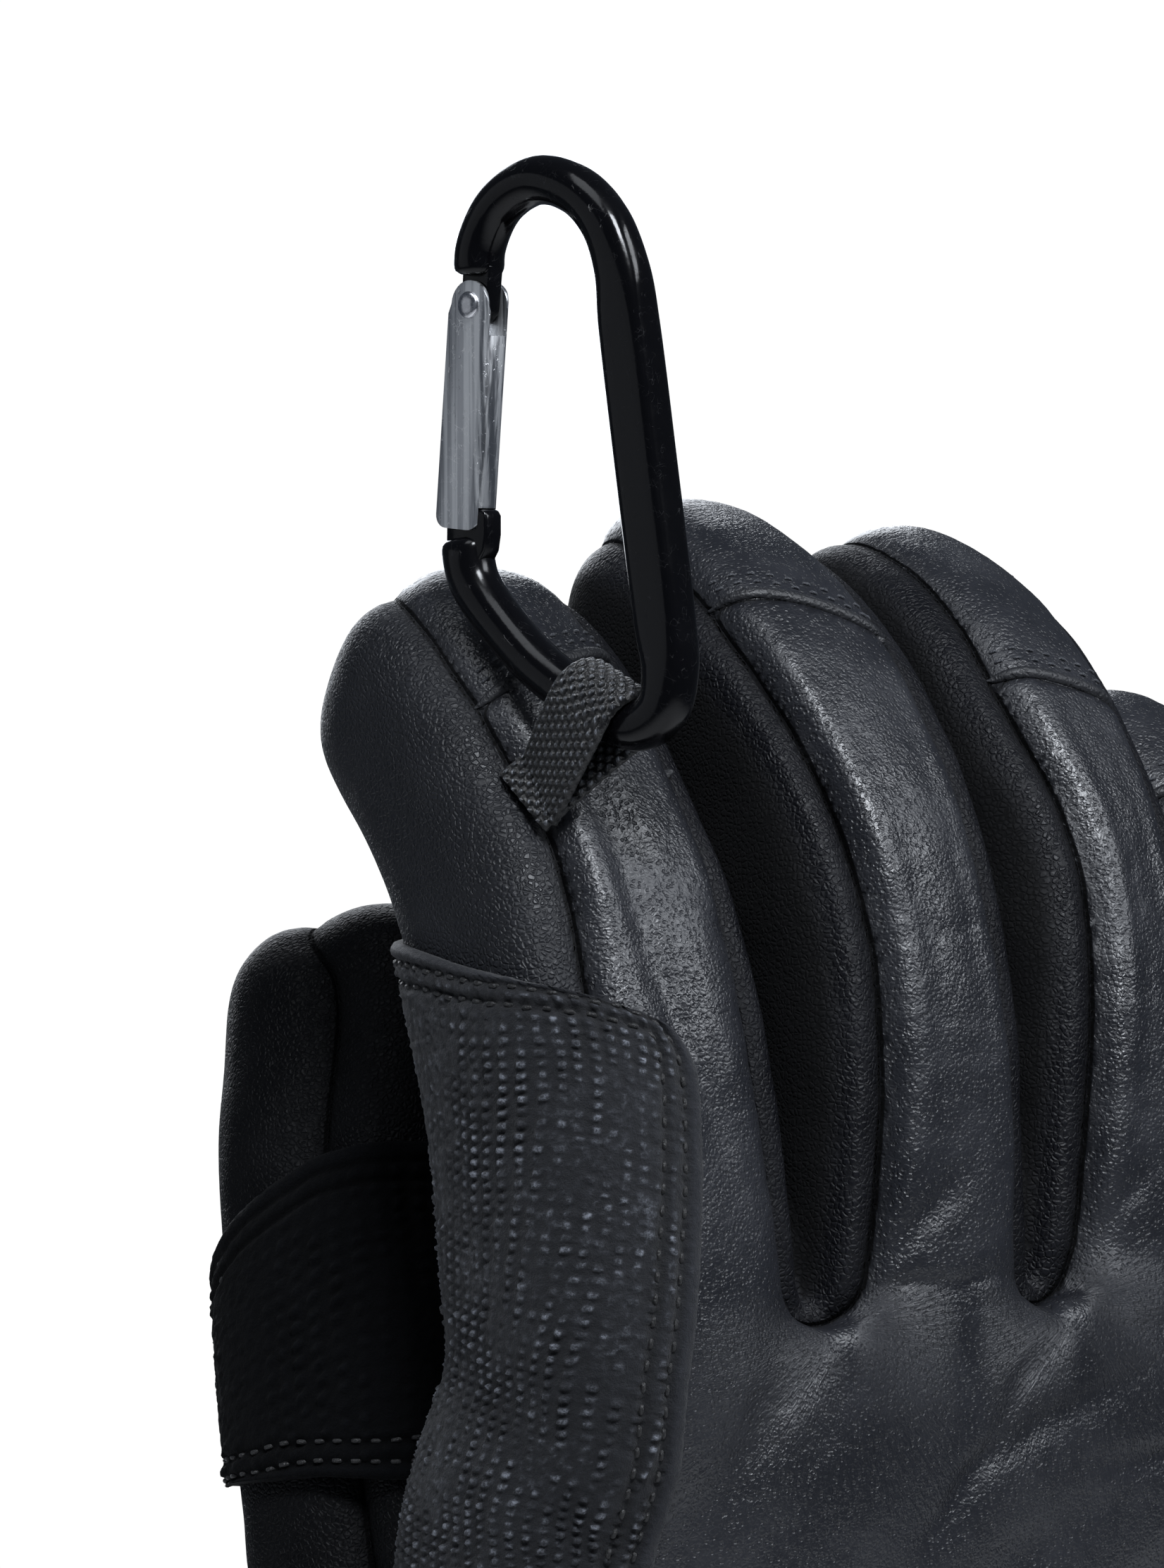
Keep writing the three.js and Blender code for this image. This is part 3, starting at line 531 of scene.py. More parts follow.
in_fingers = ~on_thumb & (wrist_side < 0)
long_seam = np.where(in_fingers, np.minimum(abs(back_side), abs(palm_side)), 99)
thumb_seam = np.where(on_thumb & (thumb.s > 0), abs(thumb_side), 99)
seam_gap = np.minimum(np.minimum(long_seam, thumb_seam), abs(wrist_side))
finger_length = np.choose(nearest, [digits[n].length for n in FINGERS])
tip_share = np.where(on_thumb, thumb.s / thumb.digit.length, finger_s / finger_length)
to_tip = smoothstep(0.45, 0.85, tip_share)
depth = 1 - (1 - TIP_DEPTH) * to_tip
relief = -SEAM_DEPTH * depth * np.exp(-seam_gap / SEAM_WIDTH)
relief += PUFF * (1 - np.exp(-(seam_gap / PUFF_REACH) ** 2)) - PUFF * (0.6 - 0.3 * to_tip)
cap_zone = (finger_s > 20) & in_fingers & (back_side > -1) & (palm_side > 0) & (panel != PALM)
cap_roll = CAP_STEP * smoothstep(-0.5, 0.5, cap_side) * np.exp(-np.clip(cap_side, 0, None) / 9)
cap_roll -= 0.5 * np.exp(-((cap_side + 0.9) / 0.9) ** 2)
relief += np.where(cap_zone, cap_roll * smoothstep(0, 1.5, back_side), 0)
# Beside the seams the back leather rolls up into a long ridge; on the index finger only above its patch.
on_backs = in_fingers & (back_side > 0) & (finger_s > 0) & (panel != PALM)
ridge = RIDGE * np.exp(-((back_side - 3.4) / 1.9) ** 2) * smoothstep(0, 14, finger_s) * (1 - to_tip)
ridge *= np.where(nearest == 0, smoothstep(32, 40, finger_s), 1)
relief += np.where(on_backs, ridge, 0)
# The walls between the fingers bulge beside their seams, and end in a round rim at the web.
between = in_fingers & wall & (wall_of > 0) & (wall_of < 4)
bulge = WALL_BULGE * np.exp(-((-back_side - 2.3) / 1.6) ** 2) * (1 - to_tip)
bulge += RIM_ROLL * np.exp(-((-back_side - 1.3) / 0.8) ** 2) * smoothstep(18, 4, finger_s)
relief += np.where(between, bulge, 0)
relief += HEM_ROLL * np.exp(-((skin[:, 2] - CUFF_END - 3) / 3.5) ** 4)

# %% [markdown]
# Folds. Each is a line on the surface with a width and a depth. The index finger has one
# long fold beside its seam; the hand has shallow ones that run out from the webs.

# %% folds
FOLDS = [
    # digit, width, depth, then the line as places along and across the digit
    ("index", 2.4, 0.95, [(56, -5), (47, -3.2), (40, -2), (33, -1.4), (24, -0.4), (14, 2.4), (6, 5)]),
    ("index", 0.55, 0.41, [(52, -2.2), (47, -0.5), (43, 0.6), (36, 1.4), (25.5, 2.6), (14, 5.5), (6, 8)]),
    ("index", 0.6, 0.19, [(44, 2.4), (38, 3.2), (31, 3.4), (24, 4.8)]),
    ("index", 1.5, 0.27, [(30, 9), (22, 9.5), (12, 11)]),
    ("middle", 1.4, 0.75, [(14, 2.5), (10, -1.5), (7, -5.4), (2, -9.5)]),
    ("middle", 1.0, 0.22, [(20, 3), (14, -1), (10, -5)]),
    ("middle", 1.6, 0.27, [(58, 4), (40, 5), (24, 5.4)]),
    ("ring", 1.4, 0.41, [(12, 2), (7, -4), (1, -8.5)]),
    ("ring", 1.6, 0.27, [(50, 4), (34, 5), (18, 5)]),
]
HAND_FOLDS = [
    # width, depth, then the line as x and z
    (0.9, 0.8, [(24, -109.6), (31, -106.6), (42, -106.5), (46, -107.5)]),
    (0.7, 0.34, [(25, -110.6), (32, -108.8), (43, -109)]),
    (2.4, 0.54, [(22, -112), (12.5, -118), (9, -124), (4, -133)]),
    (2.2, 0.44, [(23, -113), (17, -123), (13, -134)]),
    (1.3, 0.6, [(51, -112), (44, -117), (39, -125), (30, -134)]),
    (1.8, 0.75, [(64, -116), (58, -118.4), (46, -122), (37, -126), (30, -136)]),
    (3.2, 0.68, [(60, -127), (44, -136), (26, -150)]),
    (3.4, 0.61, [(80, -130), (60, -142), (38, -158)]),
    (1.6, 0.44, [(80, -114), (74, -124), (66, -134)]),
    (1.4, 0.51, [(53, -110.6), (60, -113), (72, -113)]),
]


def line_gap(places, line):
    """How far places on a plane lie from a line of straight pieces, and their share of its length."""
    line = np.array(line, float)
    lengths = np.hypot(*np.diff(line, axis=0).T)
    best, share = np.full(len(places), 1e9), np.zeros(len(places))
    for k, (start, end) in enumerate(zip(line[:-1], line[1:])):
        part = np.clip((places - start) @ (end - start) / lengths[k] ** 2, 0, 1)
        gap = np.hypot(*(places - start - part[:, None] * (end - start)).T)
        closer = gap < best
        best = np.where(closer, gap, best)
        share = np.where(closer, (lengths[:k].sum() + part * lengths[k]) / lengths.sum(), share)
    return best, share


def fold(places, line, wide, deep, mine):
    """A valley along a line, that wanders a little and runs out at both ends."""
    chosen = np.flatnonzero(mine)
    wander = noise(np.column_stack([places[chosen] / 6, np.full(len(chosen), wide + deep * 9)]))
    gap, share = line_gap(places[chosen] + 0.6 * wander[:, None], line)
    valley = np.zeros(count)
    valley[chosen] = deep * np.exp(-(gap / wide) ** 2) * np.sin(np.pi * (0.06 + 0.88 * share))
    return valley


for name, wide, deep, line in FOLDS:
    place = places[name]
    mine = (nearest == FINGERS.index(name)) & (place.y < 2) & in_fingers & (back_side > -2)
    relief -= fold(np.column_stack([place.s, place.x]), line, wide, deep, mine)
on_back = (skin[:, 1] < hand_y) & ~on_thumb & (skin[:, 2] < -100) & (back_side > 0)
for wide, deep, line in HAND_FOLDS:
    relief -= fold(skin[:, [0, 2]], line, wide, deep, on_back)

# Fine wrinkles fan out from each web; where a corner lies in its fan is kept for the material.
WEBS = [(22.3, -110.5), (52, -110.5), (80.5, -112)]
from_webs = [skin[:, [0, 2]] - np.array(web) for web in WEBS]
reach = np.stack([np.hypot(*offset.T) for offset in from_webs])
own_web = reach.argmin(axis=0)
web_gap, next_gap = np.sort(reach, axis=0)[:2]
turn = np.choose(own_web, [np.arctan2(offset[:, 0], -offset[:, 1]) for offset in from_webs])
fan = np.column_stack([turn * 16, web_gap / 6, own_web * 5.0])
fan_mask = smoothstep(1.5, 5, web_gap) * np.exp(-(web_gap / 20) ** 2)
fan_mask *= smoothstep(0, 7, next_gap - web_gap)
fan_mask = np.where(on_back, fan_mask * smoothstep(-104, -110, skin[:, 2]), 0)
relief -= 0.16 * fan_mask * ridges(fan / 2.2)

# Soft unevenness everywhere, and small wrinkles across the fingers' backs.
relief += 0.35 * noise(skin / 14) + 0.12 * noise(skin / 5 + 9)
own_arc = np.choose(nearest, [places[n].arc for n in FINGERS])
flow = np.stack([finger_s / 1.6, own_arc / 7, nearest * 3.7], axis=1)
bent = np.exp(-((finger_s - 28) / 26) ** 2) * in_fingers * (finger_s > 0)
relief -= 0.1 * ridges(flow) * bent * (back_side > 0)
leather = skin + relief[:, None] * unit(relaxed(corner_normals(skin, quads), edges, 1))
print("relief from", round(float(relief.min()), 2), "to", round(float(relief.max()), 2), "mm")

# %% [markdown]
# The skin is now parted into its panels. Corners next to a seam are first pulled onto the
# seam line, so that the cut edges run smoothly instead of in steps, and every panel gets
# the thickness of real leather.

# %% part the skin into panels
LEATHER = 1.2


def pulled_to_seams(points, names):
    """Moves the corners on both sides of a seam on to the middle between them."""
    crossing = edges[names[edges[:, 0]] != names[edges[:, 1]]]
    gaps = seam_field[crossing] + 1e-3
    share = gaps[:, 0] / gaps.sum(axis=1)
    meet = points[crossing[:, 0]] + share[:, None] * (points[crossing[:, 1]] - points[crossing[:, 0]])
    hits = np.bincount(crossing.ravel(), minlength=count)
    total = summed(crossing.ravel(), np.repeat(meet, 2, axis=0), count)
    snap = (hits > 0) & (seam_field < 0.5 * VOXEL)
    out = points.copy()
    out[snap] = total[snap] / hits[snap, None]
    return out, snap


def borders(squares, names):
    """The net's edges that lie between two panels, or at the open hem."""
    sides = np.sort(sides_of(squares), axis=1)
    owner = np.tile(names, 4)
    order = np.lexsort((sides[:, 1], sides[:, 0]))
    sides, owner = sides[order], owner[order]
    twin = (sides[1:] == sides[:-1]).all(axis=1)
    return sides[1:][twin & (owner[1:] != owner[:-1])]


def smoothed_along(points, lines, rounds):
    """Slides the corners of each line towards the middle of their neighbours on the same line."""
    on_line = np.bincount(lines.ravel(), minlength=count)
    pull = np.where(on_line == 2, 0.5, np.where(on_line > 2, 0.12, 0))[:, None]
    for _ in range(rounds):
        points = points + pull * (neighbour_mean(points, lines, count) - points)
    return points, on_line > 0


cap_gap = np.where(cap_zone, abs(cap_side), 99)
seam_field = np.minimum(seam_gap, cap_gap)
leather, snapped = pulled_to_seams(leather, panel)
weight = np.where(snapped, -1.0, seam_field)
face_panel = panel[quads[np.arange(len(quads)), weight[quads].argmax(axis=1)]]
seam_lines = borders(quads, face_panel)
leather, on_line = smoothed_along(leather, seam_lines, 14)
# The rows of squares beside a seam follow it, so that none is left folded.
beside = np.zeros(count, bool)
for one, other in ((0, 1), (1, 0)):
    beside[edges[on_line[edges[:, other]], one]] = True
for _ in range(3):
    leather = eased(leather, edges, beside & ~on_line)
seam_field[on_line] = 0
print("corners on seams:", int(on_line.sum()))


def smooth_shaded(mesh):
    mesh.shade_smooth()
    return mesh


def applied(piece):
    """Turns a piece's modifiers into its mesh."""
    done = bpy.data.meshes.new_from_object(evaluated(piece))
    piece.modifiers.clear()
    piece.data = done
    return piece


def keep_values(mesh, label, values):
    """Stores a number or a direction at every corner, for the materials to read."""
    kind, field = ("FLOAT_VECTOR", "vector") if values.ndim == 2 else ("FLOAT", "value")
    mesh.attributes.new(label, kind, "POINT").data.foreach_set(field, values.astype(np.float32).ravel())


def panel_mesh(name, faces):
    """The squares of one panel as a sheet, in metres, with what its leather needs to know."""
    used = np.unique(faces)
    renumber = np.full(count, -1)
    renumber[used] = np.arange(len(used))
    mesh = new_mesh(name, leather[used] * MM, renumber[faces].tolist())
    for label, values in (("seam", seam_field), ("wrinkled", fan_mask), ("fan", fan)):
        keep_values(mesh, label, values[used])
    mesh.validate()
    return mesh


def thickened(piece, thickness):
    """Gives a sheet real thickness on its inner side."""
    solidify = piece.modifiers.new("thickness", "SOLIDIFY")
    solidify.thickness = thickness * MM
    solidify.offset = -1
    solidify.use_even_offset = False
    solidify.use_rim = True
    return applied(piece)


panels = {}
for k, node in enumerate(PANELS):
    name = node.removesuffix("_panel") + "_leather"
    mesh = panel_mesh(name, quads[face_panel == k])
    panels[node] = thickened(add_object(name, smooth_shaded(mesh)), LEATHER)
    print(name, len(panels[node].data.vertices), "corners")
# %% [markdown]
# The grip patches are thick leather embossed with rows of small dots, cut with a raw edge
# and sewn down with two rows of thread. A patch is a net of small squares lifted off its
# digit. The index finger's net is shot out from the finger's middle on to the skin, and
# the thumb's is laid along its tube.

# %% helpers for patches
PATCH_LIFT, PATCH_THICK, DOT_HEIGHT = 0.5, 1.5, 0.42
STITCH_ROWS = (2.1, 4.3)
GROOVE_DEEP, GROOVE_WIDE = 0.45, 0.45
RAW_EDGE_DROP, RAW_EDGE_WIDE = 0.55, 0.35


def net_lengths(points):
    """Millimetres along each row and each column of a net, from its first corner."""
    across = np.linalg.norm(np.diff(points, axis=1), axis=2).cumsum(axis=1)
    down = np.linalg.norm(np.diff(points, axis=0), axis=2).cumsum(axis=0)
    return np.pad(across, ((0, 0), (1, 0))), np.pad(down, ((1, 0), (0, 0)))


def rim_gap(across, down):
    """How far every corner of a net lies from the nearest side."""
    return np.minimum(np.minimum(across, down), np.minimum(across[:, -1:] - across, down[-1:] - down))


def softened_net(net, rounds):
    for _ in range(rounds):
        net[1:-1, 1:-1] = (net[1:-1, 1:-1] * 2 + net[2:, 1:-1] + net[:-2, 1:-1]
                           + net[1:-1, 2:] + net[1:-1, :-2]) / 6
    return net


def softened_line(line, rounds):
    for _ in range(rounds):
        line[1:-1] = (line[1:-1] * 2 + line[2:] + line[:-2]) / 4
    return line


def corner_inset(distance, radius):
    """How far a side edge steps in beside a rounded corner, at a distance below it."""
    left = np.clip(radius - distance, 0, radius)
    return radius - np.sqrt(radius ** 2 - left ** 2)


def embossed(across, down, edge, pitch):
    """Height of the pressed dots, with the seam rows pulled in and the raw edge rounded off."""
    def rough(size, seed):
        points = np.stack([across / size, down / size, np.full_like(down, seed)], axis=-1)
        return noise(points.reshape(-1, 3)).reshape(across.shape)

    wander = 1.3 * rough(13, 0.0) + 0.3 * rough(3, 1.0)
    row_wave = np.cos(2 * np.pi * (across + wander) / pitch[0])
    column_wave = np.cos(2 * np.pi * (down + 0.7 * wander) / pitch[1])
    dots = smoothstep(-0.35, 0.6, row_wave) * smoothstep(-0.45, 0.6, column_wave) - 0.3
    rubbed = 0.62 + 0.7 * rough(1.2, 5.0) + 0.65 * rough(6, 8.0)
    height = DOT_HEIGHT * dots * rubbed * smoothstep(1.2, 2.6, edge)
    for row in STITCH_ROWS:
        height -= GROOVE_DEEP * np.exp(-((edge - row) / GROOVE_WIDE) ** 2)
    raw_edge = RAW_EDGE_DROP * np.exp(-np.clip(edge, 0, None) / RAW_EDGE_WIDE)
    return height + 0.11 * rough(0.4, 2.0) - raw_edge


def patch_object(name, base, edge, pitch, keep=None):
    """A closed piece of leather over a net of points, embossed on top."""
    across, down = net_lengths(base)
    normal = unit(np.cross(np.gradient(base, axis=1), np.gradient(base, axis=0)))
    relief = embossed(across, down, edge, pitch)
    outer = base + (PATCH_LIFT + PATCH_THICK + relief)[..., None] * normal
    inner = base + PATCH_LIFT * normal
    index = np.arange(edge.size).reshape(edge.shape)
    cells = np.stack([index[:-1, :-1], index[1:, :-1], index[1:, 1:], index[:-1, 1:]], axis=-1)
    cells = cells.reshape(-1, 4)
    if keep is not None:
        cells = cells[keep[:-1, :-1].ravel() & keep[1:, 1:].ravel()]
    # A side that only one square has is part of the rim, which a wall closes.
    sides = sides_of(cells)
    _, first, times = np.unique(np.sort(sides, axis=1), axis=0, return_index=True, return_counts=True)
    start, end = sides[first[times == 1]].T
    below = edge.size
    wall = np.stack([end, start, start + below, end + below], axis=1)
    faces = np.vstack([cells, cells[:, ::-1] + below, wall])
    used, flat = np.unique(faces, return_inverse=True)
    corners = np.vstack([outer.reshape(-1, 3), inner.reshape(-1, 3)])
    mesh = new_mesh(name, corners[used] * MM, flat.reshape(-1, 4).tolist())
    keep_values(mesh, "edge", np.tile(edge.ravel(), 2)[used])
    keep_values(mesh, "dots", np.append(relief.ravel(), np.full(below, -0.6))[used])
    return add_object(name, smooth_shaded(mesh)), outer, normal, across, down


# %% the index finger's grip patch
# Height, then where the finger's middle lies towards the palm, and where the patch's front edge
# stands, in degrees from straight back towards the thumb.
PATCH_FRONT = [(-152, 6, 27), (-132.5, 1.6, 21.7), (-129, 0.6, 20.6), (-122, -1.2, 18.2),
               (-114, -2.5, 18.4), (-109.7, -3.2, 16.7), (-94.7, -2, 9.1), (-86.7, -0.8, 5.4),
               (-80, 0.8, 4.6), (-70, 3.2, 4)]
# Degrees round the finger, then the height of the top edge.
PATCH_TOP = [(4, -81.2), (10.5, -80.6), (21, -79.2), (37, -77.3), (52, -76), (74, -74.9), (97, -74.1),
             (117, -73.2), (140, -72.4), (170, -72)]
PATCH_MIDDLE_X, PATCH_RADIUS = 7.0, 15.0
PATCH_END, PATCH_BOTTOM = 165.0, -152.0
PATCH_TALL, PATCH_SIDE_TALL = 72.0, 71.0
CORNER_RADIUS = 4.0

# The skin under the patch: the finger and the hand alone, with no relief.
bare_skin, bare_quads = fused([digit_tube(digits["index"], DIGIT_START), hand_tube(-200, CROTCH)], 1.0)
bare_edges = edges_of(bare_quads)
bare_skin = relaxed(bare_skin, bare_edges, 6)
for _ in range(18):
    bare_skin = eased(bare_skin, bare_edges, near_webs(bare_skin))
bare_tree = BVHTree.FromPolygons(bare_skin.tolist(), bare_quads.tolist())

front_heights, middle_places, front_turns = np.array(PATCH_FRONT, float).T
base = np.empty((256, 141, 3))
for i, down in enumerate(np.linspace(0, 1, base.shape[0])):
    start = np.interp(PATCH_BOTTOM + (1 - down) * PATCH_TALL, front_heights, front_turns)
    start += math.degrees(corner_inset(down * PATCH_SIDE_TALL, CORNER_RADIUS) / PATCH_RADIUS)
    angle = start + (PATCH_END - start) * np.linspace(0, 1, base.shape[1])
    top = np.interp(angle, *np.array(PATCH_TOP, float).T)
    height = top + (PATCH_BOTTOM - top) * down
    middle = np.interp(height, front_heights, middle_places)
    for j, turn in enumerate(np.radians(angle)):
        origin = Vector((PATCH_MIDDLE_X, middle[j], height[j]))
        out = Vector((-math.sin(turn), -math.cos(turn), 0))
        hit = bare_tree.ray_cast(origin, out)[0]
        base[i, j] = origin + PATCH_RADIUS * out if hit is None else hit
base = softened_net(base, 3)
from_side, from_top = net_lengths(base)
edge = rim_gap(from_side, from_top)
# Round the corner, the nearest edge is an arc.
corner = (from_side < CORNER_RADIUS) & (from_top < CORNER_RADIUS)
in_corner = CORNER_RADIUS - np.hypot(CORNER_RADIUS - from_side - corner_inset(from_top, CORNER_RADIUS),
                                     CORNER_RADIUS - from_top)
edge = np.where(corner, np.clip(in_corner, 0, None), edge)
clear_of_thumb = Place(digits["thumb"], base.reshape(-1, 3)).rho.reshape(edge.shape) > 1.06
index_patch, patch_top, patch_normal, patch_across, patch_down = patch_object(
    "index_grip_leather", base, edge, (1.62, 1.16), clear_of_thumb)
print("index patch:", len(index_patch.data.polygons), "squares")

# %% the thumb's grip patch
# Millimetres of leather from the back's middle line, then how far along the thumb the edge lies.
THUMB_PATCH_TOP = [(-18, 68), (-13, 70.5), (-7, 73.5), (-3, 75.1), (2, 76.8), (7, 77.3), (18, 77.3)]
THUMB_PATCH_LOW = [(-18, 47.4), (-13, 47), (-6, 46.2), (0, 45.7), (7, 44.3), (18, 42.5)]
THUMB_PATCH_ARC = (23.0, -20.0)
THUMB_PATCH_TALL, THUMB_CORNER = 30.0, 3.0

thumb_digit = digits["thumb"]
_, length_table, across_table = tables[BOXY_DIGIT]
quarter_digit = length_table[-1]
net = np.empty((101, 131, 3))
for i, down in enumerate(np.linspace(0, 1, net.shape[0])):
    side_inset = corner_inset((1 - down) * THUMB_PATCH_TALL, THUMB_CORNER)
    start, end = THUMB_PATCH_ARC[0], THUMB_PATCH_ARC[1] + side_inset
    arc = start + (end - start) * np.linspace(0, 1, net.shape[1])
    high, low_end = (np.interp(np.clip(arc, -17, 17), *np.array(rows, float).T)
                     for rows in (THUMB_PATCH_TOP, THUMB_PATCH_LOW))
    s = high + (low_end - high) * down
    wide, deep = thumb_digit.read(thumb_digit.wide, s) / 2, thumb_digit.read(thumb_digit.deep, s) / 2
    turned = arc / ((wide + deep) / 2)
    within = abs(turned) <= quarter_digit
    folded = np.sign(turned) * (2 * quarter_digit - abs(turned))
    x = np.interp(np.where(within, turned, folded), length_table, across_table)
    y = -(1 - abs(np.clip(x, -1, 1)) ** BOXY_DIGIT) ** (1 / BOXY_DIGIT) * np.where(within, 1, -1)
    net[i] = (thumb_digit.read(thumb_digit.centre, s) + (x * wide)[:, None] * thumb_digit.side
              + (y * deep)[:, None] * thumb_digit.read(thumb_digit.front, s))
net = softened_net(net, 4)
thumb_edge = rim_gap(*net_lengths(net))
thumb_patch, thumb_top, thumb_normal, thumb_across, thumb_down = patch_object(
    "thumb_grip_leather", net, thumb_edge, (1.9, 1.8))
print("thumb patch:", len(thumb_patch.data.polygons), "squares")

# %% [markdown]
# Stitches. Each one is a short plump thread that dives into the leather at both ends, laid
# along a line on the surface. All the stitches of one row belong to one object.

# %% sew
STITCH_LENGTH, STITCH_PITCH, STITCH_RADIUS = 1.3, 2.15, 0.25
STITCH_SIDES, STITCH_RINGS = 8, 9


def travelled(points):
    """How far along a line of points each one lies."""
    return np.append(0, np.linalg.norm(np.diff(points, axis=0), axis=1).cumsum())


def stitch_mesh(name, paths, radius=STITCH_RADIUS, length=STITCH_LENGTH, pitch=STITCH_PITCH):
    """Threads along paths, each path given with the outward direction at its points."""
    parts = []
    share = np.linspace(-1, 1, STITCH_RINGS)[:, None]
    swell = radius * np.sqrt(np.clip(1 - share ** 4, 0.02, 1))
    sag = -1.7 * radius * share ** 4 + 0.5 * radius
    angle = np.linspace(0, 2 * np.pi, STITCH_SIDES, endpoint=False)[:, None]
    for points, outward in paths:
        stops = travelled(points)
        where = np.arange(pitch / 2, stops[-1], pitch)
        place, ahead, behind = (read_off(where + shift, stops, points) for shift in (0, 0.4, -0.4))
        ups = read_off(where / stops[-1], np.linspace(0, 1, len(outward)), outward)
        for centre, travel, up in zip(place, unit(ahead - behind), ups):
            lift = unit(up - travel * (up @ travel))
            spine = centre + share * travel * length / 2 + sag * lift
            ring = np.cos(angle) * np.cross(travel, lift) + np.sin(angle) * lift
            parts.append(tube_mesh(spine[:, None] + ring * swell[:, None]))
    corners, faces = stacked(parts)
    return smooth_shaded(new_mesh(name, corners * MM, faces))


def patch_rows(top, normal, edge_gap, across, down):
    """The stitch lines of a patch: up its front edge, round the corner and along its top."""
    paths = []
    rows, columns = edge_gap.shape
    for gap in STITCH_ROWS:
        cells = [(i, int(np.argmax(edge_gap[i] >= gap))) for i in range(rows - 8, 0, -1)]
        cells = [cell for cell in cells
                 if down[cell] > gap + 0.02 and edge_gap[cell] >= gap and across[cell] < 12]
        first_column = int(np.argmax(across[4] > (gap + 0.6)))
        cells += [(int(np.argmax(edge_gap[:, j] >= gap)), j) for j in range(first_column, columns - 12)]
        chosen = tuple(np.array(cells).T)
        paths.append((softened_line(top[chosen], 8), normal[chosen]))
    return paths


above_foot = np.where(patch_down[-1:] - patch_down < 8, 99, edge)
paths = patch_rows(patch_top, patch_normal, above_foot, patch_across, patch_down)
index_patch_stitches = add_object("index_grip_stitches", stitch_mesh("index_grip_stitches", paths))
# On the thumb the seam runs along the other two sides, so the net is read backwards.
thumb_paths = patch_rows(*(values[::-1, ::-1] for values in (
    thumb_top, thumb_normal, thumb_edge,
    thumb_across[:, -1:] - thumb_across, thumb_down[-1:] - thumb_down)))
thumb_patch_stitches = add_object("thumb_grip_stitches", stitch_mesh("thumb_grip_stitches", thumb_paths))
print("stitches:", len(index_patch_stitches.data.polygons), "faces")

# %% [markdown]
# The fingertip caps overlap the back leather with a folded edge, which shows as a bright
# round welt, and are sewn with two rows of thread close together.

# %% welts and double rows on the fingertip caps
CAP_ROWS = (2.0, 3.15)
WELT_PLACE, WELT_WIDE, WELT_HIGH = 0.45, 0.75, 0.62
leather_tree = BVHTree.FromPolygons(leather.tolist(), quads.tolist())


def across_finger(name, row, shrink):
    """A line across the back of a finger beside its cap's edge, with the outward direction."""
    digit = digits[name]
    start, slant = CAP_SEAMS[name]
    left, right = (sign * np.interp(start + slant * sign * 9, *np.array(BACK_SEAMS[name, sign], float).T)
                   for sign in (-1, 1))
    across = np.linspace(left + shrink, right - shrink, 70)
    s = start + slant * across + row
    origin, out = digit.read(digit.centre, s) + across[:, None] * digit.side, -digit.read(digit.front, s)
    hits = [leather_tree.ray_cast(Vector(a), Vector(b))[:2] for a, b in zip(origin, out)]
    line, up = np.array([hit for hit in hits if hit[0] is not None]).transpose(1, 0, 2)
    return softened_line(line, 6), unit(softened_line(up, 6))


def welt_mesh(line, up, around=14):
    """A round roll of leather along a line, half sunk into the surface."""
    side = np.cross(unit(np.gradient(line, axis=0)), up)
    taper = np.clip(1 - abs(np.linspace(-1, 1, len(line))) ** 10, 0.2, 1)
    angle = np.linspace(0, 2 * np.pi, around, endpoint=False)[None, :, None]
    ring = WELT_WIDE * np.cos(angle) * side[:, None] + WELT_HIGH * np.sin(angle) * up[:, None]
    return tube_mesh(line[:, None] + ring * taper[:, None, None])


cap_paths = [across_finger(name, row, 1.2) for name in FINGERS for row in CAP_ROWS]
corners, faces = stacked([welt_mesh(*across_finger(name, WELT_PLACE, 0.3)) for name in FINGERS])
welts = smooth_shaded(new_mesh("fingertip_welts", corners * MM, faces))
cap_welts = add_object("fingertip_welts", welts)
cap_threads = stitch_mesh("fingertip_stitches", cap_paths, radius=0.19, length=1.15, pitch=2.05)
cap_stitches = add_object("fingertip_stitches", cap_threads)
print("cap stitches:", len(cap_stitches.data.polygons), "faces")
# %% [markdown]
# The carabiner's bar and the webbing both follow a smooth curve through a few places, so
# one helper makes it. The carabiner lies in a plane of its own, nearly across the glove:
# u runs from the gate towards the spine, v is upwards.

# %% smooth curves, and the carabiner's plane
CLIP_TURN = math.radians(-79)
HANG_U, HANG_V = 11.6, 31.6
clip_along = np.array([math.cos(CLIP_TURN), math.sin(CLIP_TURN), 0.0])
clip_up = np.array([0.0, 0.0, 1.0])
clip_across = np.cross(clip_along, clip_up)


def clip_point(u, v, across=0.0):
    """A place on the carabiner, in its own plane, as a point of the glove's space."""
    return clip_along * (u - HANG_U) + clip_up * (v - HANG_V) + clip_across * across


def smooth_path(rows, step, place=3):
    """A centripetal curve through rows whose first `place` columns are a position, at even steps."""
    rows = np.asarray(rows, float)
    padded = np.vstack([2 * rows[0] - rows[1], rows, 2 * rows[-1] - rows[-2]])
    knots = np.append(0, np.sqrt(np.linalg.norm(np.diff(padded[:, :place], axis=0), axis=1)).cumsum())
    fine = []
    for k in range(1, len(rows)):
        a, b, c, d = padded[k - 1:k + 3]
        start, low, high, end = knots[k - 1:k + 3]
        t = np.linspace(low, high, 24, endpoint=False)[:, None]

        def between(p, q, since, until):
            return p + (q - p) * (t - since) / (until - since)

        first, middle = between(a, b, start, low), between(b, c, low, high)
        last = between(c, d, high, end)
        one, other = between(first, middle, start, high), between(middle, last, low, end)
        fine.append(between(one, other, low, high))
    fine = np.vstack(fine + [rows[-1:]])
    stops = travelled(fine[:, :place])
    where = np.linspace(0, stops[-1], int(stops[-1] / step) + 1)
    return read_off(where, stops, fine), float(stops[-1])


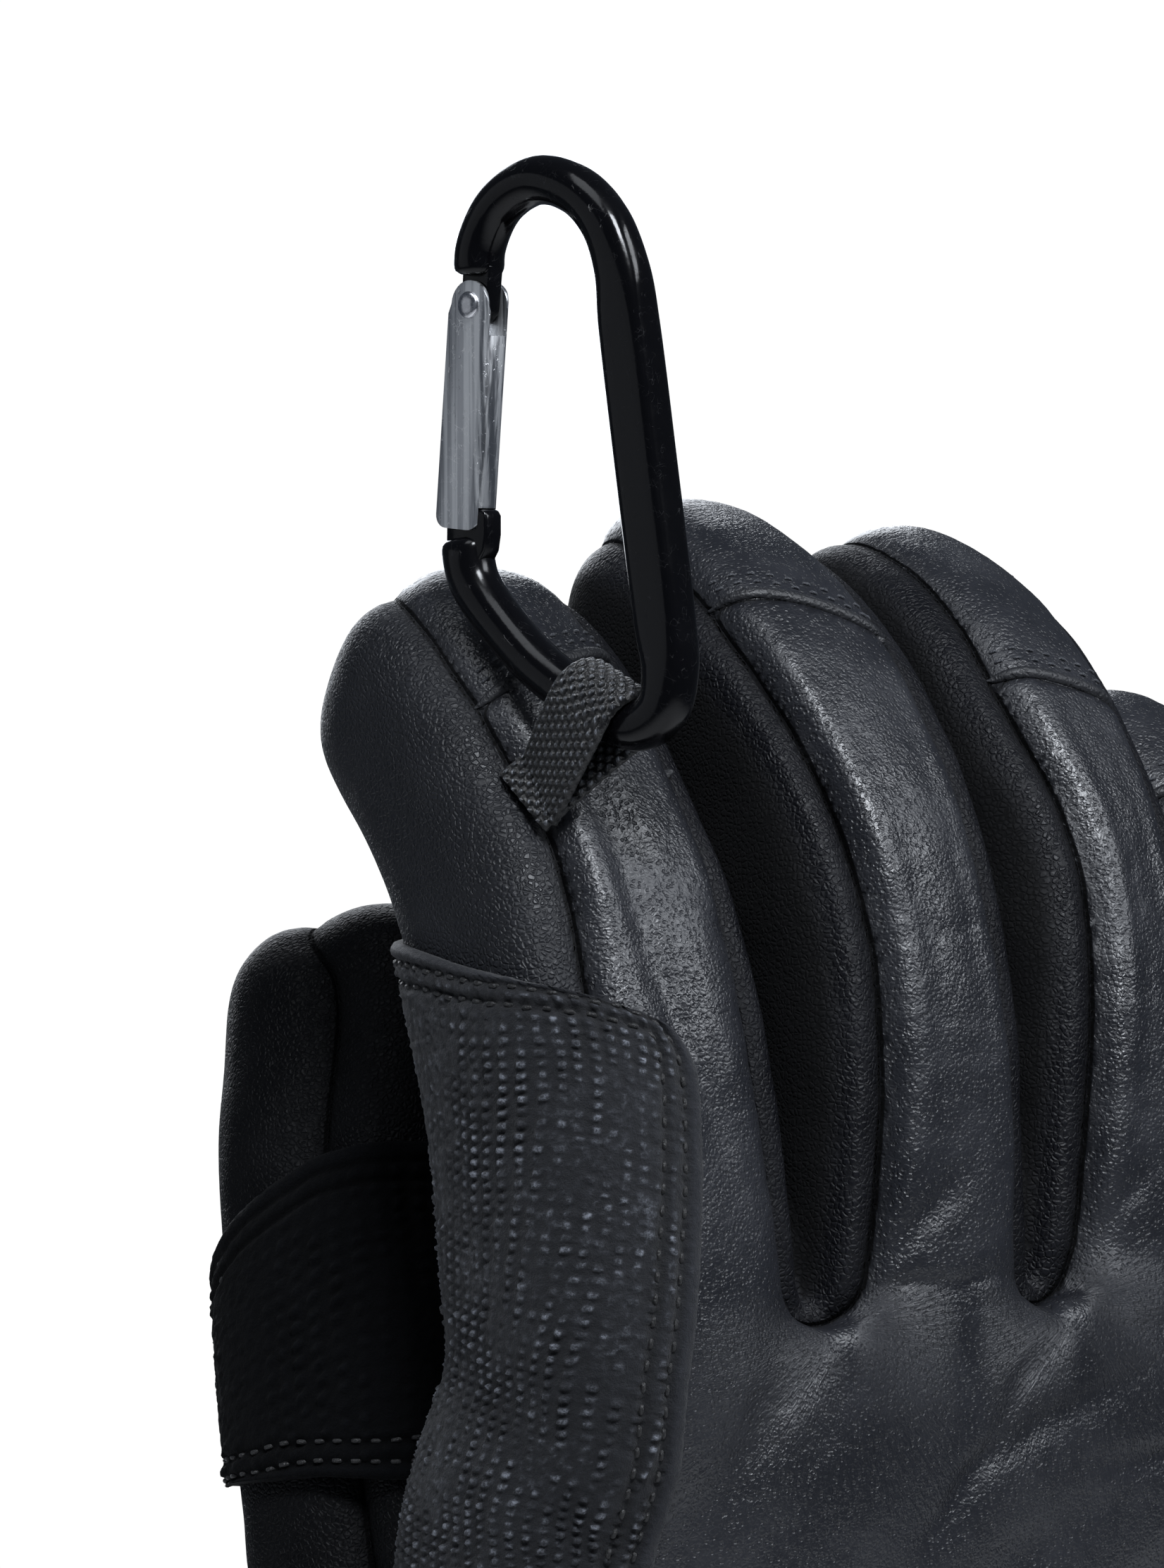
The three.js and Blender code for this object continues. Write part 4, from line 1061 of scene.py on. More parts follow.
# %% [markdown]
# The hanging loop is a woven ribbon. It comes out of the index finger's seam, runs over the
# carabiner's bottom bar and goes back into the same seam. The weave is real relief: rows of
# small threads that swap places, on both faces.

# %% weave the loop
WEB_WIDTH, WEB_THICK, WEB_STEP = 8.2, 1.3, 0.13
WEB_BAR = (17.6, -17.6)
WEB_BAR_SLOPE = math.radians(-26)
BAR_RADIUS, WEB_SLACK = 2.5, 0.35
WEB_RADIUS = BAR_RADIUS + WEB_THICK / 2 + WEB_SLACK
WEB_ROOT, ROOT_ASIDE, ROOT_BACK = 47.0, 9.3, 12.0      # along the finger, then across it and back
PLY_OFFSET = 0.75       # half the distance between the two ends in the seam
WEB_WRAP = 1.12         # half turns that the webbing lies on the bar
THREAD_ACROSS, THREAD_ALONG, THREAD_HEIGHT = 0.74, 1.15, 0.4

# Where the webbing lies on the bar, and where it leaves the finger's seam.
bar_down = clip_along * math.cos(WEB_BAR_SLOPE) + clip_up * math.sin(WEB_BAR_SLOPE)
bar_up = np.cross(clip_across, bar_down)
bar = clip_point(*WEB_BAR)
finger = digits["index"]
finger_front = finger.read(finger.front, WEB_ROOT)
seam_down = unit(finger.read(finger.centre, WEB_ROOT - 4) - finger.read(finger.centre, WEB_ROOT + 4))
root = finger.read(finger.centre, WEB_ROOT) - ROOT_ASIDE * finger.side - ROOT_BACK * finger_front
outward = -0.45 * finger.side - 0.89 * finger_front
ply = unit(np.cross(seam_down, outward))
away = root - bar
facing = math.atan2(away @ bar_up, away @ clip_across)
around = []
for share in np.arange(13) / 12:
    angle = facing + math.pi * (1 - WEB_WRAP / 2 + WEB_WRAP * share)
    around.append(bar + WEB_RADIUS * (clip_across * math.cos(angle) + bar_up * math.sin(angle)))
stations = [(point, bar_down) for point in around]
for share in (0.3, 0.55, 0.8, 1.0):
    wide = bar_down + (seam_down - bar_down) * share
    bow = outward * 0.5 * math.sin(math.pi * share)
    stations.insert(0, (around[0] + (root - ply * PLY_OFFSET - around[0]) * share + bow, wide))
    stations.append((around[-1] + (root + ply * PLY_OFFSET - around[-1]) * share + bow, wide))
both, web_length = smooth_path([np.append(*station) for station in stations], WEB_STEP)
centre, wide = both[:, :3], both[:, 3:]
travel = unit(np.gradient(centre, axis=0))
wide = unit(wide - travel * (wide * travel).sum(axis=1)[:, None])
thin = np.cross(travel, wide)

# Each column of the section is one line of threads along the webbing.
lengthways = np.arange(len(centre)) * web_length / (len(centre) - 1)
face = np.linspace(-1, 1, 88)
section = [(x, 1.0) for x in face] + [(x, -1.0) for x in face[::-1]]
rings = np.empty((len(centre), len(section), 3))
thread = np.empty((len(centre), len(section)))
for k, (x, side) in enumerate(section):
    across = x * WEB_WIDTH / 2
    column = np.round(across / THREAD_ACROSS)
    in_column = np.cos(np.pi * (across / THREAD_ACROSS - column)) ** 0.6
    shift = THREAD_ALONG / 2 * (column % 2)
    in_row = np.cos(2 * np.pi * (lengthways + shift) / THREAD_ALONG)
    thread[:, k] = np.clip(0.5 + 0.5 * in_row, 0, 1) ** 0.6 * in_column
    weave = THREAD_HEIGHT * thread[:, k] * (1 - abs(x) ** 12)
    thick = (WEB_THICK / 2 - THREAD_HEIGHT * 0.5) * math.sqrt(1 - abs(x) ** 8 * 0.95) + weave
    spread = across * (1 + 0.012 * np.cos(2 * np.pi * lengthways / THREAD_ALONG) * abs(x) ** 3)
    rings[:, k] = centre + spread[:, None] * wide + (side * thick)[:, None] * thin
corners, faces = tube_mesh(rings[:, ::-1])
web_mesh = new_mesh("hang_loop_webbing", corners * MM, faces)
keep_values(web_mesh, "thread", np.append(thread[:, ::-1].ravel(), [0, 0]))
hang_loop = add_object("hang_loop_webbing", smooth_shaded(web_mesh))
print("webbing:", round(web_length, 1), "mm long,", len(faces), "faces")
# %% [markdown]
# The carabiner's frame is one bent bar: round over the bow and at the bottom, and pressed
# flat along the spine. A tongue at the top carries the gate, and a nose at the bottom
# catches it. The gate is a bent channel of sheet metal, open towards the outside.

# %% helpers for metal
SHARP = math.radians(38)      # edges that turn more than this stay crisp


def prism_faces(sides):
    """The faces of a prism whose corners are one outline and then the other."""
    walls = [(k, (k + 1) % sides, (k + 1) % sides + sides, k + sides) for k in range(sides)]
    return [tuple(range(sides))[::-1], tuple(range(sides, 2 * sides))] + walls


def bevelled(piece, width, segments):
    edges = piece.modifiers.new("edges", "BEVEL")
    edges.width, edges.segments, edges.limit_method = width * MM, segments, "ANGLE"
    edges.angle_limit = math.radians(40)
    return piece


def slab(outline, width, bevel=0.0):
    """A plate in the carabiner's plane, centred across it, with its edges rounded off."""
    corners = [clip_point(u, v, side * width / 2) for side in (-1, 1) for u, v in outline]
    plate = add_object("slab", new_mesh("slab", np.array(corners) * MM, prism_faces(len(outline))))
    return bevelled(plate, bevel, 3) if bevel else plate


def baked(piece):
    """Applies a piece's modifiers and shades it smooth, with crisp edges where it turns sharply."""
    applied(piece).data.shade_smooth()
    piece.data.set_sharp_from_angle(angle=SHARP)
    return piece


def joined(name, pieces):
    """Several closed pieces as one object."""
    both = bmesh.new()
    for piece in pieces:
        both.from_mesh(piece.data)
        bpy.data.objects.remove(piece)
    mesh = bpy.data.meshes.new(name)
    both.to_mesh(mesh)
    both.free()
    mesh.set_sharp_from_angle(angle=SHARP)
    return add_object(name, mesh)


def arc_points(centre, radius, start, end, count):
    turns = np.radians(np.linspace(start, end, count))
    return [(centre[0] + radius * math.cos(a), centre[1] + radius * math.sin(a)) for a in turns]


# %% bend the frame
# Place in the plane, thickness in it and across it; square 2 is round, larger values are flatter.
CLIP_BAR = [
    # u     v      deep wide square
    (0.9, 25.7, 5, 4.8, 2.3), (1.2, 28.6, 5, 5, 2.1), (3.8, 32.6, 5, 5, 2), (8.9, 34.8, 5, 5, 2),
    (14.2, 33.6, 5, 5, 2), (18, 30.4, 5.1, 4.8, 2.2), (20.3, 25.6, 5.4, 4.5, 2.8),
    (21.3, 20, 5.7, 4.2, 4.5), (23.6, 6, 5.7, 4.2, 5), (26, -8.6, 5.7, 4.2, 4.5),
    (26.7, -13.4, 5.5, 4.5, 3), (25.9, -17, 5.2, 4.8, 2.4), (23, -18.9, 5, 5, 2.1),
    (19, -18.2, 5, 5, 2), (9.9, -13.6, 5, 5, 2), (5.2, -10, 5, 5, 2),
    (0.5, -5.2, 5.2, 4.9, 2.1), (-0.6, -2.3, 5.4, 4.8, 2.2), (-0.8, -0.5, 5.2, 3.8, 2.8),
]
PIVOT = (1.2, 22.7)
TONGUE, NOSE = 2.0, 2.4
BAR_STEP, END_ROUND, END_SHRINK = 0.35, 1.1, 0.3

bar_rows, bar_length = smooth_path(CLIP_BAR, BAR_STEP, place=2)
place = np.array([clip_point(u, v) for u, v in bar_rows[:, :2]])
in_plane = np.cross(clip_across, unit(np.gradient(place, axis=0)))
from_end = np.minimum(np.arange(len(place)), np.arange(len(place))[::-1]) * BAR_STEP
ease = 1 - np.clip(from_end / END_ROUND, 0, 1)
shrink = 1 - END_SHRINK * (1 - np.sqrt(1 - ease ** 2))
rings = []
for centre, side, scale, (_, _, deep, wide, square) in zip(place, in_plane, shrink, bar_rows):
    x, y = ring_shape(square, 48)
    rings.append(centre + x[:, None] * deep * scale * side + y[:, None] * wide * scale * clip_across)
corners, faces = tube_mesh(rings)
bar_piece = add_object("bar", smooth_shaded(new_mesh("bar", corners * MM, faces)))
hinge_outline = arc_points(PIVOT, 1.8, 180, 360, 13) + [(PIVOT[0] + 2.2, 26.6), (PIVOT[0] - 1.6, 26.6)]
nose_outline = [(-2.6, -1.9), (1.6, -3.4), (2.7, -1.8), (3.0, -0.2), (3.0, 1.7), (2.6, 2.3),
                (0.9, 2.4), (0.6, 4.0), (-1.3, 4.4), (-2.5, 3.2)]
clip_frame = joined("clip_frame_metal", [bar_piece, baked(slab(hinge_outline, TONGUE, 0.2)),
                                         baked(slab(nose_outline, NOSE, 0.3))])
print("frame bar:", round(bar_length, 1), "mm round,", len(clip_frame.data.polygons), "faces")

# %% fold the gate
GATE_FOOT = (-0.75, 0.4)
GATE_DEEP, GATE_WIDE, GATE_SHEET = 5.6, 3.4, 0.45
FOOT_RADIUS, CROWN_RADIUS = 1.3, 2.45
half, inner = GATE_DEEP / 2, GATE_WIDE - 2 * GATE_SHEET
lean = np.array(PIVOT) - np.array(GATE_FOOT)
gate_length = float(np.hypot(*lean))
lean /= gate_length


def gate_places(places):
    """Places on the gate, x from its middle towards the spine and y up from its foot, as u and v."""
    towards_spine = np.array([lean[1], -lean[0]])
    return [tuple(np.array(GATE_FOOT) + towards_spine * x + lean * y) for x, y in places]


def channel(name, deep_from, deep_to, wide, radius, low, high):
    """A long bar along the gate, with the two edges on the spine's side rounded."""
    corner = arc_points((deep_to - radius, wide / 2 - radius), radius, 0, 90, 8)
    section = [*corner, (deep_from, wide / 2), (deep_from, -wide / 2),
               *((x, -c) for x, c in corner[::-1])]
    corners = [clip_point(*gate_places([(x, y)])[0], c) for y in (low, high) for x, c in section]
    mesh = new_mesh(name, np.array(corners) * MM, prism_faces(len(section)))
    fixed = bmesh.new()
    fixed.from_mesh(mesh)
    bmesh.ops.recalc_face_normals(fixed, faces=fixed.faces)
    fixed.to_mesh(mesh)
    fixed.free()
    return add_object(name, mesh)


def carve(piece, tool, operation):
    change = piece.modifiers.new("carve", "BOOLEAN")
    change.operation, change.object, change.solver = operation, tool, "EXACT"
    applied(piece)
    bpy.data.objects.remove(tool)


# Seen from the side: a rounded foot, straight flanks and a crown round the pivot.
side_places = [*arc_points((-half + FOOT_RADIUS, FOOT_RADIUS), FOOT_RADIUS, 180, 270, 7),
               *arc_points((half - FOOT_RADIUS, FOOT_RADIUS), FOOT_RADIUS, 270, 360, 7),
               (half, gate_length - 1), *arc_points((0, gate_length), CROWN_RADIUS, 0, 180, 17),
               (-half, gate_length - 1)]
gate = channel("clip_gate_metal", -half - 1, half, GATE_WIDE, 1.05, -1, gate_length + 4)
carve(gate, slab(gate_places(side_places), 9), "INTERSECT")
hollow = channel("hollow", -half - 2, half - GATE_SHEET, inner, 0.6, -2, gate_length + 5)
carve(gate, hollow, "DIFFERENCE")
# The web between the gate's walls is cut away over the nose and over the tongue.
for low, high in ((-2, 2.3), (gate_length - 2.9, gate_length + 6)):
    slot = gate_places([(-half - 1, low), (half + 1, low), (half + 1, high), (-half - 1, high)])
    carve(gate, slab(slot, inner), "DIFFERENCE")
clip_gate = baked(bevelled(gate, 0.09, 2))
print("gate:", round(gate_length, 1), "mm long,", len(clip_gate.data.polygons), "faces")

# %% set the rivet
RIVET_RADIUS, RIVET_DOME, SHANK_RADIUS, HEAD_RIM = 1.35, 0.6, 0.8, 0.12
reach = GATE_WIDE / 2
dome = [(RIVET_RADIUS * math.cos(a), reach + HEAD_RIM + (RIVET_DOME - HEAD_RIM) * math.sin(a))
        for a in np.radians(np.linspace(0, 86, 10))]
profile = [(r, -c) for r, c in dome[::-1]] + [(RIVET_RADIUS, -reach), (SHANK_RADIUS, -reach + 0.02),
                                              (SHANK_RADIUS, reach - 0.02), (RIVET_RADIUS, reach)] + dome
turns = np.linspace(0, 2 * np.pi, 40, endpoint=False)[:, None]
round_way = np.cos(turns) * clip_along + np.sin(turns) * clip_up
corners, faces = tube_mesh([clip_point(*PIVOT) + clip_across * c + r * round_way for r, c in profile])
gate_rivet = baked(add_object("gate_rivet_metal", new_mesh("gate_rivet_metal", corners * MM, faces)))
print("rivet:", len(gate_rivet.data.polygons), "faces")
# %% [markdown]
# Leather. Two groups make its surface: one for the pebbled grain and the pores of the hide,
# one for the dull strip beside a seam. Both also mark where the leather is darkened as painted shade:
# in the grain's valleys and beside a seam. Each leather places them with its own scale and
# strength. The seam value says how far a point lies from a seam, in millimetres.

# %% node helpers


class Tree:
    """Short words for adding and wiring nodes in one tree. A colour may be given without its alpha."""

    def __init__(self, tree):
        self.tree = tree

    def node(self, kind, **settings):
        made = self.tree.nodes.new("ShaderNode" + kind)
        for key, value in settings.items():
            setattr(made, key, value)
        return made

    def put(self, target, value):
        if not isinstance(value, (int, float, tuple)):
            self.tree.links.new(value, target)
        else:
            target.default_value = (*value, 1.0) if target.type == "RGBA" and len(value) == 3 else value

    def fill(self, made, **values):
        """Sets or wires a node's inputs by name, with _ for a space, and hands back its outputs."""
        for name, value in values.items():
            self.put(made.inputs[name.replace("_", " ")], value)
        return made.outputs

    def use(self, group, **values):
        return self.fill(self.node("Group", node_tree=group), **values)

    def stored(self, name, output="Fac"):
        return self.node("Attribute", attribute_name=name).outputs[output]

    def math(self, operation, a, b=0.0, clamp=False):
        made = self.node("Math", operation=operation, use_clamp=clamp)
        self.put(made.inputs[0], a)
        self.put(made.inputs[1], b)
        return made.outputs[0]

    def times(self, a, b):
        return self.math("MULTIPLY", a, b)

    def plus(self, a, b):
        return self.math("ADD", a, b)

    def left(self, value):
        """What a share leaves of one."""
        return self.math("SUBTRACT", 1.0, value)

    def vector(self, operation, *values):
        made = self.node("VectorMath", operation=operation)
        for socket, value in zip(made.inputs, values):
            self.put(socket, value)
        return made.outputs["Value" if operation == "LENGTH" else "Vector"]

    def ranged(self, value, low, high, to_low=0.0, to_high=1.0):
        made = self.node("MapRange", interpolation_type="SMOOTHSTEP")
        return self.fill(made, Value=value, From_Min=low, From_Max=high, To_Min=to_low, To_Max=to_high)[0]

    def noise(self, vector, scale, detail=2.0, rough=0.5):
        made = self.node("TexNoise")
        return self.fill(made, Vector=vector, Scale=scale, Detail=detail, Roughness=rough)["Fac"]

    def cells(self, vector, scale, feature):
        made = self.node("TexVoronoi", feature=feature)
        return self.fill(made, Vector=vector, Scale=scale)["Distance"]

    def mix(self, factor, a, b):
        made = self.node("Mix", data_type="RGBA")
        for socket, value in ((0, factor), (6, a), (7, b)):
            self.put(made.inputs[socket], value)
        return made.outputs[2]

    def bump(self, height, strength, distance, **normal):
        made = self.node("Bump")
        return self.fill(made, Height=height, Strength=strength, Distance=distance, **normal)["Normal"]


def new_group(name, inputs, outputs):
    """An empty shader group with named sockets: its tree, its inputs' values and its result."""
    group = bpy.data.node_groups.new(name, "ShaderNodeTree")
    for label, value in inputs.items():
        kind = "NodeSocketVector" if value is None else "NodeSocketFloat"
        socket = group.interface.new_socket(name=label, in_out="INPUT", socket_type=kind)
        if value is not None:
            socket.default_value = value
    for label in outputs:
        group.interface.new_socket(name=label, in_out="OUTPUT", socket_type="NodeSocketFloat")
    given, result = group.nodes.new("NodeGroupInput"), group.nodes.new("NodeGroupOutput")
    return group, Tree(group), given.outputs, result.inputs


def new_material(name):
    """A new material with its wiring helper, its shader and the place on the object."""
    material = bpy.data.materials.new(name)
    material.use_nodes = True
    t = Tree(material.node_tree)
    return material, t, t.tree.nodes["Principled BSDF"], t.node("TexCoord").outputs["Object"]


# %% the grain of the hide, and the strip beside its seams
hide_grain, t, given, result = new_group("hide grain", {"Vector": None, "Scale": 2000.0, "Pores": 0.5},
                                         ["Height", "Valleys"])
warp = t.noise(given["Vector"], 900.0)
bend = t.node("CombineXYZ")
t.put(bend.inputs[0], t.times(warp, 0.0006))
t.put(bend.inputs[1], t.times(warp, -0.0005))
warped = t.vector("ADD", given["Vector"], bend.outputs[0])
pebble = t.ranged(t.cells(warped, given["Scale"], "DISTANCE_TO_EDGE"), 0.0, 0.28)
pore = t.ranged(t.cells(warped, t.times(given["Scale"], 0.95), "F1"), 0.18, 0.46)
both = t.plus(t.times(pebble, t.left(given["Pores"])), t.times(pore, given["Pores"]))
t.put(result["Height"], both)
t.put(result["Valleys"], t.left(both))

seam_shade, t, given, result = new_group("seam shade", {"Seam": 5.0, "Width": 1.0}, ["Mask", "Line"])
t.put(result["Mask"], t.left(t.ranged(given["Seam"], 0.0, given["Width"])))
t.put(result["Line"], t.ranged(given["Seam"], 0.05, 0.45))
print("groups made:", hide_grain.name, "and", seam_shade.name)


# %% black hide
def leather_material(name, colour, rough, scale, pores, grain, shine, lines, shade_far_from_seams):
    """Black hide: `grain` is how deep the pebbles are, `shine` how much light the surface throws back,
    `lines` how drawn its creases are, and `shade_far_from_seams` how much painted shade darkens and dulls it
    away from its seams."""
    material, t, shader, place = new_material(name)
    hide = t.use(hide_grain, Vector=place, Scale=scale, Pores=pores)
    seam = t.stored("seam")
    shade = t.use(seam_shade, Seam=seam, Width=2.2)
    patchy = t.noise(place, 90.0, 3.0, 0.6)
    # A darker tone, used as painted shade in the grain's valleys and beside the seams.
    dark = tuple(c * 0.55 for c in colour)
    tone = t.mix(t.ranged(patchy, 0.35, 0.7), colour, tuple(c * 1.4 + 0.002 for c in colour))
    # The grain's valleys and pores are darkened: painted shade in these pits.
    tone = t.mix(t.times(hide["Valleys"], 0.5), tone, dark)
    # Beside a seam the colour darkens: painted shade in the seam's groove.
    tone = t.mix(t.times(shade["Mask"], 0.6), tone, dark)
    # Far from its seams the colour is mixed towards black: painted shade deep in the walls between the
    # fingers.
    deep = t.times(t.ranged(seam, 3.2, 6.5), shade_far_from_seams)
    gloss = t.plus(t.ranged(patchy, 0.3, 0.75, rough - 0.06, rough + 0.07), t.times(hide["Valleys"], 0.15))
    gloss = t.plus(gloss, t.times(shade["Mask"], 0.15))
    # From fine to coarse: the grain, the creases, and the drop at a seam.
    height = t.plus(hide["Height"], t.times(t.noise(place, 1400.0, 3.0, 0.7), 0.12))
    grained = t.bump(height, 1.0, grain)
    wrinkles = t.times(t.noise(t.stored("fan", "Vector"), 1.6, 4.0, 0.7),
                       t.times(t.stored("wrinkled"), 3.2))
    tilted = t.fill(t.node("VectorRotate", rotation_type="Y_AXIS"), Vector=place, Angle=0.75)[0]
    drawn = t.noise(t.vector("MULTIPLY", tilted, (0.16, 1.0, 1.0)), 900.0, 3.0, 0.6)
    creases = t.plus(t.noise(place, 260.0, 4.0, 0.62), t.times(drawn, lines))
    creased = t.bump(t.plus(creases, wrinkles), 0.4, 0.0005, Normal=grained)
    t.fill(shader, Base_Color=t.mix(deep, tone, (0.0, 0.0, 0.0)), Specular_IOR_Level=shine,
           Roughness=t.math("ADD", gloss, t.times(deep, 0.5), clamp=True),
           Normal=t.bump(shade["Line"], 1.0, 0.0004, Normal=creased))
    return material


back_leather, side_leather, shaded_wall_leather, palm_leather, shaded_thumb_leather = (leather_material(*row) for row in [
    # name, colour, roughness, scale, pores, grain, shine, lines, shade far from seams (painted shade)
    ("back leather", (0.0095, 0.0102, 0.0132), 0.35, 1900.0, 0.75, 0.00008, 0.55, 0.4, 0.0),
    ("side leather", (0.0072, 0.0078, 0.0102), 0.46, 1700.0, 0.15, 0.0001, 0.36, 0.0, 0.0),
    # the walls between the fingers: a darker, duller copy of the side leather, as painted shade
    ("wall leather in painted shade", (0.003, 0.0032, 0.0048), 0.42, 1700.0, 0.15, 0.00009, 0.2, 0.0, 0.8),
    ("palm leather", (0.0085, 0.0092, 0.0115), 0.52, 1700.0, 0.3, 0.00008, 0.3, 0.0, 0.0),
    # the thumb: nearly black and dull, as painted shade, since it lies in the index finger's shadow
    ("thumb leather in painted shade", (0.0008, 0.0009, 0.0014), 0.5, 1700.0, 0.3, 0.00012, 0.12, 0.0, 0.0),
])
# %% [markdown]
# The other surfaces. The grip patches are napped leather: dull and blue black, with worn, lighter dots
# and painted shade between them. The webbing and the thread are shiny filaments twisted together, with
# lighter strands that are partly painted glints, and painted shade between the woven threads. The frame
# is thickly painted steel with fine scratches; the gate is bare drawn aluminium.

# %% fibres and scratches
fibres, t, given, result = new_group("fibres", {"Vector": None, "Scale": 3000.0, "Stretch": None},
                                     ["Height", "Tone"])
strands = t.noise(t.vector("MULTIPLY", given["Vector"], given["Stretch"]), given["Scale"], 3.0, 0.65)
t.put(result["Height"], t.ranged(strands, 0.3, 0.7))
t.put(result["Tone"], t.ranged(strands, 0.45, 0.8))

scratches, t, given, result = new_group("scratches", {"Vector": None, "Scale": 500.0, "Share": 0.06},
                                        ["Height", "Mask"])
masks = []
for turn, seed in ((0.5, 0.0), (-0.9, 3.0), (1.3, 7.0)):
    turned = t.fill(t.node("VectorRotate", rotation_type="AXIS_ANGLE"), Vector=given["Vector"], Angle=turn,
                    Axis=(0.6, 0.7, 0.4))[0]
    drawn = t.vector("MULTIPLY_ADD", turned, (1.0, 1.0, 0.05), (seed, seed, seed))
    line = t.math("ABSOLUTE", t.math("SUBTRACT", t.noise(drawn, given["Scale"], 0.0), 0.5))
    thin = t.math("LESS_THAN", line, t.times(given["Share"], 0.12))
    patch = t.noise(given["Vector"], t.times(given["Scale"], 0.6), 1.0)
    masks.append(t.times(thin, t.math("GREATER_THAN", patch, 0.56)))
mask = t.math("MAXIMUM", t.math("MAXIMUM", masks[0], masks[1]), masks[2])
t.put(result["Mask"], mask)
t.put(result["Height"], t.left(mask))
print("groups made:", fibres.name, "and", scratches.name)


# %% napped grip leather
def grip_material(name, colour, worn, shine):
    """Napped leather: painted shade between the dots, in the stitch grooves and at the raw edge, `worn` where
    hands rub the dots.
    """
    material, t, shader, place = new_material(name)
    dots = t.stored("dots")
    nap = t.noise(place, 2600.0, 4.0, 0.75)
    patchy = t.noise(place, 200.0, 3.0, 0.65)
    rubbed = t.times(t.ranged(dots, -0.05, 0.3), t.ranged(patchy, 0.36, 0.62, 0.12, 1.0))
    tone = t.mix(t.times(rubbed, t.ranged(nap, 0.42, 0.6, 0.2, 1.0)), colour, worn)
    # Where the surface sinks below the dots' base the colour darkens: painted shade in the hollows, the
    # stitch grooves and at the raw edge.
    tone = t.mix(t.ranged(dots, 0.0, -0.3, 0.0, 0.7), tone, tuple(c * 0.4 for c in colour))
    rim = t.left(t.ranged(t.stored("edge"), 1.2, 2.2))
    t.fill(shader, Base_Color=t.mix(t.times(rim, 0.6), tone, tuple(c * 1.7 for c in colour)),
           Roughness=0.72, Specular_IOR_Level=shine, Sheen_Weight=shine * 0.3, Sheen_Roughness=0.5,
           Normal=t.bump(nap, 1.0, 0.00024))
    return material


grip_leather = grip_material("grip leather", (0.0028, 0.0036, 0.0062), (0.21, 0.225, 0.26), 0.34)
# The thumb's patch is a far darker copy of the index finger's: painted shade, as the thumb lies in shadow.
thumb_grip_leather = grip_material("thumb grip leather in painted shade", (0.001, 0.0012, 0.0017),
                                   (0.003, 0.0034, 0.0045), 0.06)


# %% webbing and thread
def thread_material(name, colour, light, rough, stretch, scale, woven):
    """Filaments with lighter strands, partly painted glints. In woven threads the gaps between them are
    painted nearly black as shade.
    """
    material, t, shader, place = new_material(name)
    strands = t.use(fibres, Vector=place, Scale=scale, Stretch=stretch)
    # The lighter strands are partly the filaments' own tone and partly painted glints.
    tone = t.mix(strands["Tone"], colour, light)
    if woven:
        # The gaps between woven threads go near black: painted shade.
        tone = t.mix(t.ranged(t.stored("thread"), 0.55, 1.0), (0.0004, 0.0004, 0.0006), tone)
    t.fill(shader, Base_Color=tone, Roughness=rough, Specular_IOR_Level=0.55, Sheen_Weight=0.1,
           Normal=t.bump(strands["Height"], 0.7, 0.00008))
    return material


webbing, seam_thread, grip_thread = (thread_material(*row) for row in [
    # name, colour, lighter colour (strand tone and painted glints), roughness, stretch, scale, woven
    ("webbing", (0.022, 0.024, 0.028), (0.36, 0.38, 0.42), 0.26, (1.0, 1.0, 0.22), 5200.0, True),
    ("seam thread", (0.02, 0.022, 0.028), (0.07, 0.076, 0.09), 0.45, (1.0, 0.6, 0.6), 6000.0, False),
    ("grip thread", (0.0005, 0.0005, 0.0007), (0.003, 0.0032, 0.0045), 0.4, (1.0, 0.6, 0.6), 6000.0, False),
])

# %% painted steel
black_metal, t, shader, place = new_material("black painted steel")
marks = t.use(scratches, Vector=place, Scale=1300.0, Share=0.02)
waves = t.bump(t.noise(place, 900.0, 3.0, 0.6), 0.25, 0.00006)
faint = t.times(marks["Mask"], 0.25)
t.fill(shader, Base_Color=t.mix(faint, (0.002, 0.002, 0.0026), (0.05, 0.05, 0.055)),
       Roughness=t.plus(t.ranged(t.noise(place, 240.0, 3.0, 0.6), 0.3, 0.7, 0.11, 0.2), faint),
       Specular_IOR_Level=0.24, Normal=t.bump(marks["Height"], 0.5, 0.00002, Normal=waves))

# %% bare aluminium and the rivet's steel
bare_aluminium, t, shader, place = new_material("bare aluminium")
drawn = t.use(fibres, Vector=place, Scale=1500.0, Stretch=(1.0, 1.0, 0.015))["Height"]
marks = t.use(scratches, Vector=place, Scale=1500.0, Share=0.06)
dents = t.ranged(t.noise(place, 1300.0, 3.0, 0.7), 0.62, 0.7)
streaked = t.mix(t.ranged(drawn, 0.2, 0.8), (0.45, 0.46, 0.48), (0.74, 0.75, 0.76))
bright = t.math("MAXIMUM", marks["Mask"], t.times(dents, 0.6))
t.fill(shader, Base_Color=t.mix(bright, streaked, (0.85, 0.85, 0.85)), Metallic=1.0,
       Roughness=t.ranged(drawn, 0.0, 1.0, 0.3, 0.48),
       Normal=t.bump(t.math("SUBTRACT", t.times(drawn, 0.4), dents), 0.6, 0.00003))

rivet_steel, t, shader, place = new_material("rivet steel")
worn = t.noise(place, 1800.0, 3.0, 0.6)
t.fill(shader, Base_Color=t.mix(t.ranged(worn, 0.35, 0.7), (0.5, 0.5, 0.52), (0.7, 0.7, 0.72)), Metallic=1.0,
       Roughness=t.ranged(worn, 0.3, 0.7, 0.16, 0.32), Normal=t.bump(worn, 0.3, 0.00003))
print("materials:", len(bpy.data.materials))

